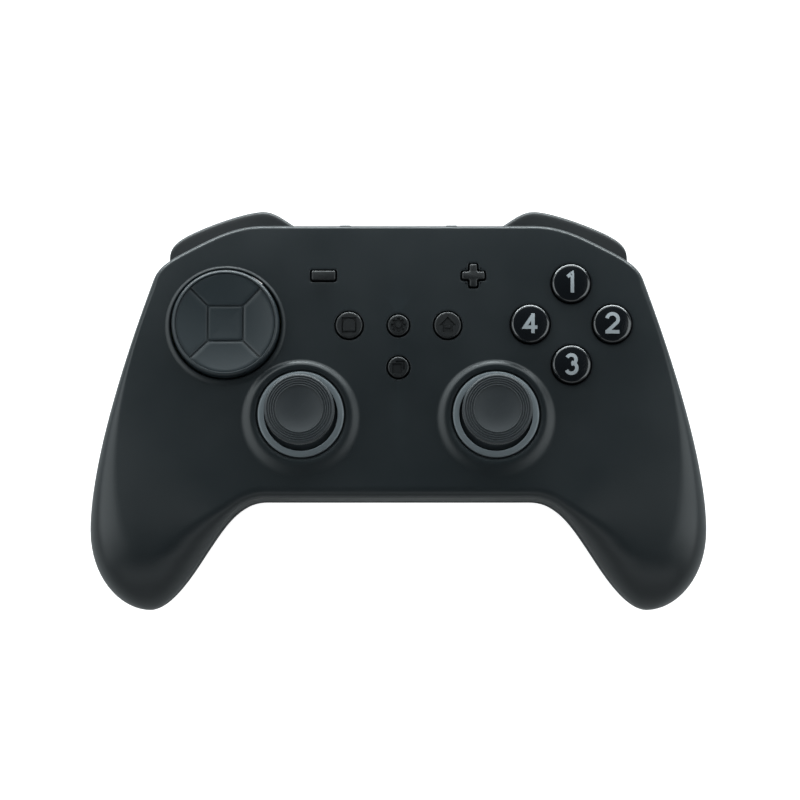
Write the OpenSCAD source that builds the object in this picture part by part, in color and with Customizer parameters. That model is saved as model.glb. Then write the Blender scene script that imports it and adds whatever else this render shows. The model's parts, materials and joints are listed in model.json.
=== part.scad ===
// Gamepad controller with two thumb sticks, a direction disc, bumpers and triggers.
// The pad lies on its back: +X is the player's right, +Y points at the triggers, +Z out of the face.

/* [Housing] */
// Greatest width across the grips
pad_w = 156; // [150:0.5:164]
// Height of the flat face above the table
face_z = 40; // [39:0.25:42]
// Height of the parting line between the shells
parting_z = 27; // [26:0.25:27.5]
// How far the parting line drops at the tips of the grips
parting_drop = 4; // [1:0.5:6]
// Wall of both shells
wall = 2.2; // [1.6:0.1:2.4]
// Gap at the seam between the two shells
seam_gap = 0.2; // [0.1:0.05:0.4]
// Top edge of the shells, measured towards the triggers
top_y = 45.2; // [44.5:0.1:46]
// Bottom edge of the shells between the grips
bottom_y = -24.8; // [-27:0.1:-24]
// Tip of the grips
tip_y = -52; // [-56:0.5:-50]
// Half the distance between the tips of the grips
tip_x = 63; // [60:0.5:66]
// Rounding of the face along the top, the bottom and the sides
face_round = 2.4; // [1.8:0.1:3.2]
// Drop of the face towards the tips of the grips
grip_drop = 7; // [4:0.5:9]

/* [Sticks] */
// Distance between the sticks
stick_span = 48.8; // [46:0.2:50]
// Stick centres, measured towards the triggers
stick_y = -4; // [-5:0.25:-3]
// Diameter of a stick cap
cap_d = 17.3; // [15:0.1:18.4]
// Height of a stick cap's rim above the table
cap_z = 54; // [52:0.25:56]
// Tilt of a stick to each side
stick_tilt = 18; // [10:1:18]
// Travel of a stick when it is pressed in
stick_press = 0.5; // [0.3:0.05:0.6]
// Opening of the bright ring round a stick
ring_bore = 18.4; // [18:0.1:19]
// Outer diameter of the bright ring
ring_d = 21.6; // [21.2:0.1:22]
// Outer diameter of the raised collar
collar_d = 31.2; // [28:0.2:31.6]
// Height of the raised collar over the face
collar_h = 1.1; // [0.5:0.1:1.6]
// Height of the tilt centre of a stick
stick_pivot_z = 29; // [28.8:0.05:29.2]

/* [Direction pad and face buttons] */
// Distance between the direction pad and the face button cluster
cluster_span = 86.6; // [85:0.2:88]
// Both clusters, measured towards the triggers
cluster_y = 18.7; // [18:0.1:19.2]
// Diameter of the direction disc
dpad_d = 27.4; // [24:0.2:28]
// Height of the direction disc's rim over the face
dpad_rise = 3.2; // [2.6:0.1:4]
// Tilt of the direction disc to each side
dpad_tilt = 5; // [3:0.5:6]
// Diameter of a face button
face_button_d = 9.6; // [8.5:0.1:10]
// Distance of each face button from the middle of its cluster
face_button_pitch = 10.25; // [9.8:0.05:10.8]
// Travel of a face button
face_button_travel = 1.4; // [1:0.1:1.6]

/* [Menu buttons] */
// Distance between the minus and plus buttons
sign_span = 37.6; // [36:0.2:40]
// Minus and plus, measured towards the triggers
sign_y = 31; // [30:0.1:32]
// Distance between the capture and home buttons
system_span = 24.7; // [24:0.1:26]
// Row of capture, settings and home buttons
system_y = 18.4; // [17.5:0.1:19.5]
// Square button below that row
square_y = 7.8; // [7:0.1:8.5]
// Diameter of the capture and home buttons
system_d = 6.7; // [6:0.1:7.5]
// Diameter of the settings and square buttons
small_d = 5.3; // [4.8:0.1:6]
// Travel of every menu button
menu_travel = 0.6; // [0.4:0.05:0.7]

/* [Bumpers and triggers] */
// How far the bumpers stand out past the top edge
bumper_reach = 4.7; // [3.5:0.1:5]
// Height of a bumper
bumper_h = 10.8; // [9.5:0.1:11]
// Swing of a bumper
bumper_swing = 2.5; // [1.5:0.25:3]
// How far the triggers stand out past the bumpers
trigger_reach = 2.1; // [1:0.1:2.4]
// Swing of a trigger
trigger_swing = 14; // [8:1:15]
// Diameter of a trigger's hinge pin
trigger_pin_d = 2.4; // [2:0.1:2.8]

/* [Fits] */
// Gap round a button in its hole
button_gap = 0.3; // [0.25:0.05:0.4]
// Running clearance of a shaft in its bore
shaft_gap = 0.05; // [0.03:0.01:0.08]
// Gap between pieces that pass each other
free_gap = 0.4; // [0.3:0.05:0.5]

/* [Hidden] */
$fn = 48;

// Outline of the right half, as Bezier curves from the tip of the grip to the middle of the pad
half_w = pad_w / 2;
grip_side_y = tip_y + 20;
shoulder = [cluster_span / 2 + 18.8, top_y - 13.7];
bevel = [cluster_span / 2 + 10.8, top_y - 6.7];
flat_top_x = 34;
crotch_x = 33;
grip_neck = [tip_x - 15, bottom_y - 11.8];
tip = [tip_x, tip_y];
outer_curves = [
  [tip, tip + [7.5, 0], [half_w, grip_side_y - 12], [half_w, grip_side_y]],
  [[half_w, grip_side_y], [half_w, grip_side_y + 14], shoulder + [10.2, -27.5], shoulder],
  [shoulder, shoulder + [-1, 2.8], bevel + [4.5, -2.4], bevel],
  [bevel, bevel + [-7.2, 3.7], [flat_top_x + 7.5, top_y], [flat_top_x, top_y]],
  [[flat_top_x, top_y], [flat_top_x * 2 / 3, top_y], [flat_top_x / 3, top_y], [0, top_y]]
];
inner_grip = [tip, tip + [-5.5, 0], grip_neck + [4, -5.9], grip_neck];
inner_crotch = [grip_neck, grip_neck + [-4.5, 6.6], [crotch_x + 7, bottom_y], [crotch_x, bottom_y]];
inner_flat = [[crotch_x, bottom_y], [crotch_x * 2 / 3, bottom_y], [crotch_x / 3, bottom_y], [0, bottom_y]];
// Share of the crotch curve that stands opposite each outer curve
crotch_share = [0, 0.7, 0.85, 1];
// Stretches of the loft along each outer curve, and the stations that they give
loft_steps = [8, 9, 3, 6, 3];
half_stations = [for (g = [0:4], k = [0:loft_steps[g] - 1]) g + pow(k / loft_steps[g], g == 0 ? 1.3 : 1)];
// Points across each rounded edge and in the middle of a station
edge_steps = 5;
middle_steps = 2;

function bezier(p, t) =
  pow(1 - t, 3) * p[0] + 3 * t * pow(1 - t, 2) * p[1] + 3 * t * t * (1 - t) * p[2] + pow(t, 3) * p[3];
function clamp01(t) = min(max(t, 0), 1);
function ease(t) = let (c = clamp01(t)) c * c * (3 - 2 * c);
function curve_no(u) = min(floor(u), 4);
function outer_edge(u) = bezier(outer_curves[curve_no(u)], u - curve_no(u));
function inner_edge(u) =
  let (g = curve_no(u), t = u - g)
  g == 0 ? bezier(inner_grip, t) :
  g == 4 ? bezier(inner_flat, t) :
  bezier(inner_crotch, crotch_share[g - 1] + (crotch_share[g] - crotch_share[g - 1]) * t);
function unit(v) = v / norm(v);
// Inward normals, from the chord over a short stretch on both sides
nudge = 0.02;
function outer_tangent(u) = unit(outer_edge(min(u + nudge, 5)) - outer_edge(max(u - nudge, 0)));
function inner_tangent(u) = unit(inner_edge(min(u + nudge, 5)) - inner_edge(max(u - nudge, 0)));
function outer_inward(u) = let (t = outer_tangent(u)) [-t[1], t[0]];
function inner_inward(u) = let (t = inner_tangent(u)) [t[1], -t[0]];
function side_sine(a, b) = max(abs(a[0] * b[1] - a[1] * b[0]), 0.35);

// The parting line falls along the grips
function seam_z(u) = parting_z - parting_drop * (1 - ease(u / 1.5));

// Heights and edge roundings at a station:
// [crown height, outer rounding, inner rounding, fullness, share of the height that is rounded]
grip_share = 0.92;
face_share = 1.3 * face_round / (face_z - parting_z);
function front_form(u) =
  let (body = ease((u - 0.5) / 1.4))
  [face_z - grip_drop * (1 - ease(u / 1.7)),
   14 + (face_round - 14) * body,
   11 + (face_round + 0.6 - 11) * body,
   2.4,
   grip_share + (face_share - grip_share) * body];
back_z = -0.6;
valley_z = 3.6;
function back_form(u) =
  let (body = ease((u - 1) / 1.2), hump = ease((u - 2.6) / 1.9), belly = ease(u / 0.9))
  [back_z + 5 * (1 - belly) + (valley_z - back_z) * body * (1 - hump),
   13 - 3 * ease((u - 2) / 1.5),
   12 + 20 * ease((u - 1.4) / 2.6),
   2.3,
   grip_share];
// Share of the full height near the tip of a grip, where the end is rounded too
tip_round = 15;
function tip_share(u) =
  let (s = clamp01(norm((outer_edge(u) + inner_edge(u)) / 2 - tip) / tip_round))
  sqrt(1 - pow(1 - s, 2));

// Point k of a superellipse's quarter, from its foot [1, 0] to its crown [0, 1]
function quarter(k, power) =
  let (a = 90 * k / edge_steps)
  k == edge_steps ? [0, 1] : [pow(cos(a), power), pow(sin(a), power)];
// One station of a surface: points from the outer edge across to the inner edge.
// Each edge is an upright wall and a superellipse's quarter, and the middle is straight.
function station(u, form, inset, seam, thin) =
  let (
    a = outer_edge(u) + outer_inward(u) * inset,
    b = inner_edge(u) + inner_inward(u) * inset,
    way = unit(b - a),
    span = norm(b - a),
    from_a = min((form[1] - thin) / side_sine(way, outer_tangent(u)), 0.47 * span),
    from_b = min((form[2] - thin) / side_sine(way, inner_tangent(u)), 0.47 * span),
    rise = (form[0] - seam) * tip_share(u),
    upright = rise * (1 - form[4]),
    bend = rise - upright,
    power = 2 / form[3]
  )
  concat(
    [[each a, seam]],
    [for (k = [0:edge_steps]) let (q = quarter(k, power))
      [each a + way * from_a * (1 - q[0]), seam + upright + bend * q[1]]],
    [for (k = [1:middle_steps - 1]) let (t = k / middle_steps)
      [each a + way * (from_a + (span - from_a - from_b) * t), seam + rise]],
    [for (k = [edge_steps:-1:0]) let (q = quarter(k, power))
      [each b - way * from_b * (1 - q[0]), seam + upright + bend * q[1]]],
    [[each b, seam]]
  );
function flip_x(points) = [for (p = points) [-p[0], p[1], p[2]]];
function lift(points, low) = [for (p = points) [p[0], p[1], max(p[2], low)]];

// All stations from the left tip to the right tip; the tips themselves are single points
function tip_point(inset, seam) = [tip_x, tip_y + inset, seam];
function skin_rows(front, inset, low) =
  let (
    gap = front ? seam_gap / 2 : -seam_gap / 2,
    thin = inset * 0.6,
    drop = front ? -inset : inset,
    right = [for (k = [1:len(half_stations) - 1]) let (
        u = half_stations[k],
        form = front ? front_form(u) : back_form(u))
      lift(station(u, form + [drop, 0, 0, 0, 0], inset, seam_z(u) + gap, thin), low)],
    form = front ? front_form(5) : back_form(5),
    middle = lift(station(5, form + [drop, 0, 0, 0, 0], inset, seam_z(5) + gap, thin), low),
    end = tip_point(inset, seam_z(0) + gap),
    count = len(right)
  )
  concat(
    [flip_x([end])],
    [for (k = [0:count - 1]) flip_x(right[k])],
    [middle],
    [for (k = [count - 1:-1:0]) right[k]],
    [[end]]
  );

// Triangles over a surface whose first and last rows are points; the order of corners sets the side
function row_index(base, across, i, j) = base + 1 + (i - 1) * across + j;
function skin_faces(base, rows, across) =
  let (last = row_index(base, across, rows - 1, 0))
  concat(
    [for (j = [0:across - 2]) [base, row_index(base, across, 1, j), row_index(base, across, 1, j + 1)]],
    [for (i = [1:rows - 3], j = [0:across - 2]) let (
        p = row_index(base, across, i, j), q = row_index(base, across, i + 1, j))
      each [[p, q, q + 1], [p, q + 1, p + 1]]],
    [for (j = [0:across - 2]) let (p = row_index(base, across, rows - 2, j)) [p, last, p + 1]]
  );
function rim_path(base, rows, across, j) = concat(
  [base], [for (i = [1:rows - 2]) row_index(base, across, i, j)], [row_index(base, across, rows - 1, 0)]);
function whole(faces) = [for (f = faces) if (f[0] != f[1] && f[1] != f[2] && f[2] != f[0]) f];
function strip_faces(a, b) = whole([for (i = [0:len(a) - 2])
  each [[a[i], b[i], b[i + 1]], [a[i], b[i + 1], a[i + 1]]]]);
function turned(faces) = [for (f = faces) [f[0], f[2], f[1]]];

// A moulded half: outer skin, inner skin and the rim between them
module moulded_half(front, low) {
  outside = skin_rows(front, 0, low);
  inside = skin_rows(front, wall, low + wall);
  rows = len(outside);
  across = len(outside[1]);
  base = 2 + (rows - 2) * across;
  skin = concat(
    skin_faces(0, rows, across),
    turned(skin_faces(base, rows, across)),
    strip_faces(rim_path(0, rows, across, 0), rim_path(base, rows, across, 0)),
    turned(strip_faces(rim_path(0, rows, across, across - 1), rim_path(base, rows, across, across - 1)))
  );
  polyhedron([for (row = outside) each row, for (row = inside) each row], front ? skin : turned(skin));
}

// The same half filled up to its parting face, to trim what stands inside it
module filled_half(front, low) {
  outside = skin_rows(front, 0, low);
  rows = len(outside);
  across = len(outside[1]);
  skin = concat(
    skin_faces(0, rows, across),
    strip_faces(rim_path(0, rows, across, 0), rim_path(0, rows, across, across - 1))
  );
  polyhedron([for (row = outside) each row], front ? skin : turned(skin));
}

// Levels and places that the pieces share
ceiling_z = face_z - wall;
board_t = 1.6;
board_top_z = stick_pivot_z - 6.6;
board_low_z = board_top_z - board_t;
frame_t = 1.8;
frame_top_z = board_low_z - 2.6;
frame_low_z = frame_top_z - frame_t;
stick_x = stick_span / 2;
cluster_x = cluster_span / 2;
sign_x = sign_span / 2;
system_x = system_span / 2;
sides = [-1, 1];
compass = [[0, 1], [1, 0], [0, -1], [-1, 0]];
below_all = -1;
above_all = 80;

// A piece of the right side, or its mirror image on the left
module on_side(side) {
  if (side < 0) mirror([1, 0, 0]) children();
  else children();
}
module at_stick(side) translate([side * stick_x, stick_y, 0]) children();
module at_dpad() translate([-cluster_x, cluster_y, 0]) children();
module at_faces() translate([cluster_x, cluster_y, 0]) children();
module tube_z(d, from_z, to_z) translate([0, 0, from_z]) cylinder(d = d, h = to_z - from_z);
module rod_x(d, from_x, to_x) translate([from_x, 0, 0]) rotate([0, 90, 0]) cylinder(d = d, h = to_x - from_x);
module rod_y(d, from_y, to_y) translate([0, from_y, 0]) rotate([-90, 0, 0]) cylinder(d = d, h = to_y - from_y);
module block(from, to) translate(from) cube(to - from);
// A box with round upright corners
module soft_box(from, to, r) {
  block(from + [r, 0, 0], to - [r, 0, 0]);
  block(from + [0, r, 0], to - [0, r, 0]);
  for (x = [from[0] + r, to[0] - r], y = [from[1] + r, to[1] - r])
    translate([x, y, from[2]]) cylinder(r = r, h = to[2] - from[2]);
}
// A slot along X with round ends, cut or filled along Y
module stadium(w, h, from_y, to_y) {
  block([-(w - h) / 2, from_y, -h / 2], [(w - h) / 2, to_y, h / 2]);
  for (side = sides)
    translate([side * (w - h) / 2, 0, 0]) rod_y(h, from_y, to_y);
}

// Sticks
ring_flange_h = 1;
ring_proud = 0.5;
ring_sleeve_d = ring_d - 1.2;
ring_low_z = ceiling_z + 0.2;
groove_d = ring_d + 2;
groove_deep = 0.6;
collar_w = (collar_d - groove_d) / 2;
collar_tube_r = (pow(collar_w / 2, 2) + pow(collar_h, 2)) / (2 * collar_h);
ring_seat_gap = 0.05;
ring_reach = norm([ring_bore / 2, ring_low_z - stick_pivot_z]);
dome_r = ring_reach - free_gap;
dome_t = 0.9;
dome_edge_z = stick_pivot_z + dome_r * cos(64);
shaft_d = 3.2;
cap_h = 5;
// Lean of a shaft with both of its axes at their limits, and the room that it leaves for the neck
corner_tilt = acos(pow(cos(stick_tilt), 2));
neck_room = ring_bore / 2 * cos(corner_tilt) - (face_z + ring_proud - stick_pivot_z) * sin(corner_tilt);
neck_wall = 1.2;
neck_d = max(2 * (neck_room - free_gap), shaft_d + 2 * neck_wall);
dish_deep = 1.2;
housing_half = 6.8;
housing_t = 1;
shaft_low_z = board_top_z + housing_t + stick_press + 1.3;
housing_top_z = stick_pivot_z + 4.2;
trunnion_d = 1.9;
yoke_half = 5.2;
yoke_h = 2.4;
yoke_window = [3.8, 3.3];
pivot_half = [2.9, 3, 1.5];
pivot_pin_d = 1.6;

// Direction pad
dpad_r = dpad_d / 2;
dpad_pivot_z = face_z - 3;
dpad_rim_z = face_z + dpad_rise;
dpad_under_z = dpad_pivot_z + 2.6;
dpad_skirt_z = dpad_pivot_z + 1.4;
dpad_dish = 1.6;
pedestal_h = 0.8;
pedestal_w = 3.2;
dpad_gap = 0.15;
// Lean of the disc with both of its axes at their limits, and how far its skirt then reaches.
// The side leans in, so that all of it turns down past the edge of the hole.
dpad_corner = acos(pow(cos(dpad_tilt), 2));
dpad_reach = dpad_r * cos(dpad_corner) + (dpad_skirt_z - dpad_pivot_z) * sin(dpad_corner);
dpad_hole_d = 2 * (dpad_reach + dpad_gap);
dpad_side_z = dpad_rim_z - 1.1;
dpad_top_r = (dpad_reach - (dpad_side_z - dpad_pivot_z) * sin(dpad_corner)) / cos(dpad_corner);
dpad_pin_d = 1.6;
ear_from = 2.4;
ear_to = 4;
ear_half = 1.7;
cross_half = 2.1;
square_half = 4.4;
plunger_ring = 9;
plunger_d = 3;
plunger_low_z = board_top_z + 3;
membrane_t = 0.8;

// Buttons
button_hole_d = face_button_d + 2 * button_gap;
flange_gap = 0.35;
flange_t = 1.4;
flange_z = ceiling_z - flange_gap - flange_t;
face_flange_d = face_button_d + 2.2;
face_dome_z = face_z + 2.1;
face_stem_d = 4.4;
dome_pad_d = 5;
dome_pad_z = board_top_z + 2;
face_stem_z = dome_pad_z + face_button_travel + 0.1;
menu_top_z = face_z + 0.8;
menu_stem_d = 2.6;
switch_top_z = board_top_z + 2.8;
menu_stem_z = switch_top_z + menu_travel + 0.1;
menu_lip = 0.7;
minus_size = [6, 2.4];
plus_size = [5.7, 1.9];
switch_half = 2.3;
system_places = [[-system_x, system_y], [system_x, system_y]];
small_places = [[0, system_y], [0, square_y]];
sign_places = [[-sign_x, sign_y], [sign_x, sign_y]];

// Board, screws and posts
board_post_d = 5;
board_posts = [[8.5, stick_y - 4.5], [27.5, 28.5]];
board_screw_d = 2;
board_head_d = 4.4;
board_head_h = 1.2;
board_screw_top_z = board_top_z + 6;
case_posts = [tip + [-6, 22], [cluster_x + 15.7, stick_y + 6]];
case_post_d = 8.4;
case_front_post_d = 6;
case_head_d = 5.4;
case_head_h = 2;
case_screw_d = 2.6;
case_seat_z = 18;
screw_gap = 0.05;
pegs = [[45, 24], [22, 12]];
peg_d = 2.4;
peg_collar_d = 5;

// Rumble motors
motor_inset = 10.4;
motor_x = outer_edge(1.5)[0] - motor_inset;
motor_z = 14;
motor_d = 10;
motor_from_y = -22;
motor_to_y = -9;
weight_d = 9.6;
weight_w = 5;
motor_shaft_d = 1.5;
cradle_t = 2;
cradle_half = 4.5;

// Bumpers and triggers
bumper_top_z = parting_z - seam_gap / 2 - free_gap;
bumper_low_z = bumper_top_z - bumper_h;
bumper_deep = 5;
bumper_nose = 1.8;
nose_fullness = 3;
bumper_crown_y = top_y + bumper_reach;
bumper_end = shoulder + [-3.7, 6.7];
bumper_bend = shoulder + [-8.1, 12.1];
bumper_start = [24.6, top_y - 0.2];
bumper_crown = [34.6, bumper_crown_y];
bumper_curves = [
  [bumper_start, bumper_start + [3.4, 1.6], bumper_crown + [-3.6, 0], bumper_crown],
  [bumper_crown, bumper_crown + [4.5, 0], bumper_bend + [-4.4, 2.4], bumper_bend],
  [bumper_bend, bumper_bend + [2.3, -1.25], bumper_end + [0, 2.6], bumper_end]
];
bumper_steps = [6, 7, 4];
bumper_pin = [22.5, top_y - 6.7];
bumper_pin_d = 2.4;
bumper_boss_d = 6;
bay_y = 32.2;
bay_x = 23.9;
bumper_back_y = bay_y + 1.4 + (bumper_end[0] - bumper_pin[0]) * sin(bumper_swing);
finger_x = [51.5, 53.5];
finger_y = bay_y + 1.4;
trigger_pivot = [35.5, frame_top_z + 3.3];
trigger_top_z = bumper_low_z - 0.5;
trigger_low_z = trigger_top_z - 10.1;
trigger_back_y = trigger_pivot[0] + 0.7 + (trigger_pivot[1] - trigger_low_z - 3) * sin(trigger_swing);
trigger_boss_d = 6;
trigger_arms = [[32, 35], [43, 46]];
ear_x = [[29, 31], [47, 49]];
ear_d = 6;
// Points of a trigger's profile from the top back round the face to the bottom back:
// [share of the depth from back to face, offset past the bumper's face, share of the height]
trigger_profile = [
  [0, 0, 1], [1, -1.2, 1], [1, -0.2, 0.92], [1, 0.3, 0.78], [1, 0.5, 0.6], [1, 0.8, 0.4],
  [1, 1.5, 0.2], [1, trigger_reach, 0.08], [1, trigger_reach - 0.5, 0], [0.6, 0, 0.02], [0, 0, 0.3]
];

// A closed body through sections that share their number of points, along +X
function tube_faces(count, around) = concat(
  [for (j = [1:around - 2]) [0, j + 1, j]],
  [for (i = [0:count - 2], j = [0:around - 1]) let (
      a = i * around + j, d = i * around + (j + 1) % around)
    each [[a, d + around, a + around], [a, d, d + around]]],
  [for (j = [1:around - 2]) (count - 1) * around * [1, 1, 1] + [0, j, j + 1]]
);
module loft_solid(sections) {
  polyhedron([for (s = sections) each s], tube_faces(len(sections), len(sections[0])));
}
bumper_line = [
  for (g = [0:len(bumper_curves) - 1], k = [0:bumper_steps[g] - 1])
    bezier(bumper_curves[g], k / bumper_steps[g]),
  bumper_end
];

// Front shell
meet_z = parting_z + 0.5;
pilot_top_z = meet_z + 6;
module collar() {
  intersection() {
    rotate_extrude()
      translate([(groove_d + collar_d) / 4, face_z + collar_h - collar_tube_r]) circle(r = collar_tube_r);
    tube_z(collar_d + 2, face_z - 0.5, face_z + collar_h + 1);
  }
}
module pedestal() {
  r = dpad_hole_d / 2;
  rotate_extrude()
    polygon(concat(
      [[r, face_z - 0.5]],
      [for (k = [0:6]) [r + pedestal_w * k / 6, face_z + pedestal_h * (1 - ease(k / 6))]],
      [[r + pedestal_w, face_z - 0.5]]
    ));
}
module stick_opening() {
  tube_z(ring_sleeve_d + 2 * ring_seat_gap, ceiling_z - 2, above_all);
  tube_z(ring_d + 2 * ring_seat_gap, face_z - ring_flange_h, above_all);
  tube_z(groove_d, face_z - groove_deep, above_all);
}
module minus_form(gap, from_z, to_z) {
  size = minus_size / 2 + [gap, gap];
  block([-size[0], -size[1], from_z], [size[0], size[1], to_z]);
}
module plus_form(gap, from_z, to_z) {
  long = plus_size[0] / 2 + gap;
  short = plus_size[1] / 2 + gap;
  block([-long, -short, from_z], [long, short, to_z]);
  block([-short, -long, from_z], [short, long, to_z]);
}
module case_post_places() {
  for (side = sides, p = case_posts)
    translate([side * p[0], p[1], 0]) children();
}
module board_post_places() {
  for (side = sides, p = board_posts)
    translate([side * p[0], p[1], 0]) children();
}
module front_shell() {
  color("#343b3e")
    difference() {
      union() {
        moulded_half(true, below_all - 100);
        intersection() {
          filled_half(true, below_all - 100);
          case_post_places() tube_z(case_front_post_d, meet_z + 1, above_all);
        }
        case_post_places() tube_z(case_front_post_d, meet_z, meet_z + 2);
        board_post_places() tube_z(board_post_d, board_top_z, ceiling_z + wall / 2);
        for (side = sides) at_stick(side) collar();
        at_dpad() pedestal();
      }
      for (side = sides) at_stick(side) stick_opening();
      at_dpad() tube_z(dpad_hole_d, ceiling_z - 2, above_all);
      for (c = compass)
        at_faces() translate(c * face_button_pitch) tube_z(button_hole_d, ceiling_z - 2, above_all);
      for (p = system_places) translate(p) tube_z(system_d + 2 * button_gap, ceiling_z - 2, above_all);
      for (p = small_places) translate(p) tube_z(small_d + 2 * button_gap, ceiling_z - 2, above_all);
      translate(sign_places[0]) minus_form(button_gap, ceiling_z - 2, above_all);
      translate(sign_places[1]) plus_form(button_gap, ceiling_z - 2, above_all);
      case_post_places() tube_z(case_screw_d + 2 * screw_gap, meet_z - 1, pilot_top_z);
      board_post_places() tube_z(board_screw_d + 2 * screw_gap, board_top_z - 1, board_screw_top_z + 0.5);
    }
}

// Rear shell
usb_size = [8.94, 3.26];
usb_z = board_top_z + usb_size[1] / 2;
usb_t = 0.3;
usb_front_y = top_y - 0.6;
usb_long = 7.4;
mode_x = 13.6;
mode_nub_w = 2.8;
mode_nub_h = 1.8;
mode_travel = 1;
mode_z = board_top_z + 1.7;
mode_proud = 1.1;
bulkhead_top_z = frame_low_z - 0.5;
module bay_walls() {
  block([bay_x - wall, bay_y - wall, below_all], [half_w, bay_y, bulkhead_top_z]);
  block([bay_x - wall, bay_y - wall, below_all], [bay_x, top_y + 2, bulkhead_top_z]);
}
module cradle(y) {
  difference() {
    block([motor_x - cradle_half, y, below_all], [motor_x + cradle_half, y + cradle_t, motor_z - 1]);
    translate([motor_x, 0, motor_z]) rod_y(motor_d + 2 * screw_gap, y - 1, y + cradle_t + 1);
  }
}
module rear_shell() {
  color("#2f3537")
    difference() {
      union() {
        moulded_half(false, 0);
        intersection() {
          filled_half(false, 0);
          union() {
            case_post_places() tube_z(case_post_d, below_all, case_seat_z + 3);
            for (side = sides) on_side(side) {
              cradle(motor_from_y + 2);
              cradle(motor_to_y - 2 - cradle_t);
              bay_walls();
            }
          }
        }
        case_post_places() tube_z(case_post_d, case_seat_z, meet_z - seam_gap);
      }
      for (side = sides) on_side(side) {
        block([bay_x, bay_y, below_all], [half_w + 10, top_y + 20, above_all]);
        translate([mode_x, 0, mode_z])
          block([-mode_nub_w / 2 - mode_travel - free_gap, top_y - 6, -mode_nub_h / 2 - free_gap],
                [mode_nub_w / 2 + mode_travel + free_gap, top_y + 2, mode_nub_h / 2 + free_gap]);
      }
      translate([0, 0, usb_z]) stadium(usb_size[0] + 1, usb_size[1] + 1, top_y - 6, top_y + 2);
      case_post_places() {
        tube_z(case_head_d + 0.6, below_all - 1, case_seat_z);
        tube_z(case_screw_d + 2 * screw_gap, case_seat_z - 1, above_all);
      }
    }
}

// Sticks
module stick_ring(side) {
  color("#8b9296")
    at_stick(side)
      difference() {
        union() {
          tube_z(ring_sleeve_d, ring_low_z, face_z);
          tube_z(ring_d, face_z - ring_flange_h, face_z + ring_proud);
        }
        tube_z(ring_bore, ring_low_z - 1, above_all);
      }
}
module stick_housing(side) {
  inner = housing_half - housing_t;
  mouth_d = 2 * ((housing_top_z - stick_pivot_z) * tan(corner_tilt) + free_gap) + shaft_d / cos(corner_tilt);
  color("#b8bcbe")
    at_stick(side)
      difference() {
        block([-housing_half, -housing_half, board_top_z], [housing_half, housing_half, housing_top_z]);
        block([-inner, -inner, board_top_z + housing_t], [inner, inner, housing_top_z - housing_t]);
        tube_z(mouth_d, housing_top_z - 2 * housing_t, above_all);
        translate([0, 0, stick_pivot_z])
          rod_x(trunnion_d + 2 * shaft_gap, -housing_half - 1, housing_half + 1);
      }
}
module stick_yoke(side) {
  color("#d8d8d2")
    at_stick(side) translate([0, 0, stick_pivot_z])
      difference() {
        union() {
          block([-yoke_half, -yoke_half, -yoke_h / 2], [yoke_half, yoke_half, yoke_h / 2]);
          rod_x(trunnion_d, -housing_half + 0.1, housing_half - 0.1);
        }
        block([-yoke_window[0], -yoke_window[1], -yoke_h], [yoke_window[0], yoke_window[1], yoke_h]);
        rod_y(pivot_pin_d + 2 * shaft_gap, -yoke_half - 1, yoke_half + 1);
      }
}
module stick_pivot(side) {
  color("#e8e6de")
    at_stick(side) translate([0, 0, stick_pivot_z])
      difference() {
        union() {
          block(-pivot_half, pivot_half);
          rod_y(pivot_pin_d, -yoke_half + 0.2, yoke_half - 0.2);
        }
        tube_z(shaft_d + 2 * shaft_gap, -pivot_half[2] - 1, pivot_half[2] + 1);
      }
}
module stick_shaft(side) {
  color("#d0d2d4")
    at_stick(side) tube_z(shaft_d, shaft_low_z, cap_z - dish_deep - 2.2);
}
module stick_cap(side) {
  r = cap_d / 2;
  neck_r = neck_d / 2;
  bore_r = shaft_d / 2 + shaft_gap;
  low_z = cap_z - cap_h;
  color("#31373b")
    at_stick(side)
      difference() {
        union() {
          difference() {
            translate([0, 0, stick_pivot_z]) sphere(r = dome_r);
            translate([0, 0, stick_pivot_z]) sphere(r = dome_r - dome_t);
            tube_z(3 * dome_r, below_all, dome_edge_z);
          }
          rotate_extrude()
            polygon(concat(
              [[0, stick_pivot_z + dome_r - dome_t / 2], [neck_r, stick_pivot_z + dome_r - dome_t]],
              [[neck_r, low_z - 3], [neck_r + 1, low_z - 1], [r - 1.2, low_z], [r, low_z + 1]],
              [[r, cap_z - 1.2], [r - 0.4, cap_z - 0.35], [r - 1.2, cap_z]],
              [for (k = [0:6]) let (t = 1 - k / 6)
                [(r - 2.6) * t, cap_z - 0.2 - dish_deep * (1 - t * t)]]
            ));
        }
        tube_z(2 * bore_r, stick_pivot_z, cap_z - dish_deep - 2);
      }
}
sensor_half = 4.5;
sensor_t = 2;
sensor_seat = 0.05;
module stick_sensors() {
  color("#3f6f5a")
    for (side = sides)
      at_stick(side) {
        on_side(side)
          block([housing_half + sensor_seat, -sensor_half, board_top_z],
                [housing_half + sensor_seat + sensor_t, sensor_half, stick_pivot_z + 2.8]);
        block([-sensor_half, -housing_half - sensor_seat - sensor_t, board_top_z],
              [sensor_half, -housing_half - sensor_seat, stick_pivot_z + 2.8]);
      }
}

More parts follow.
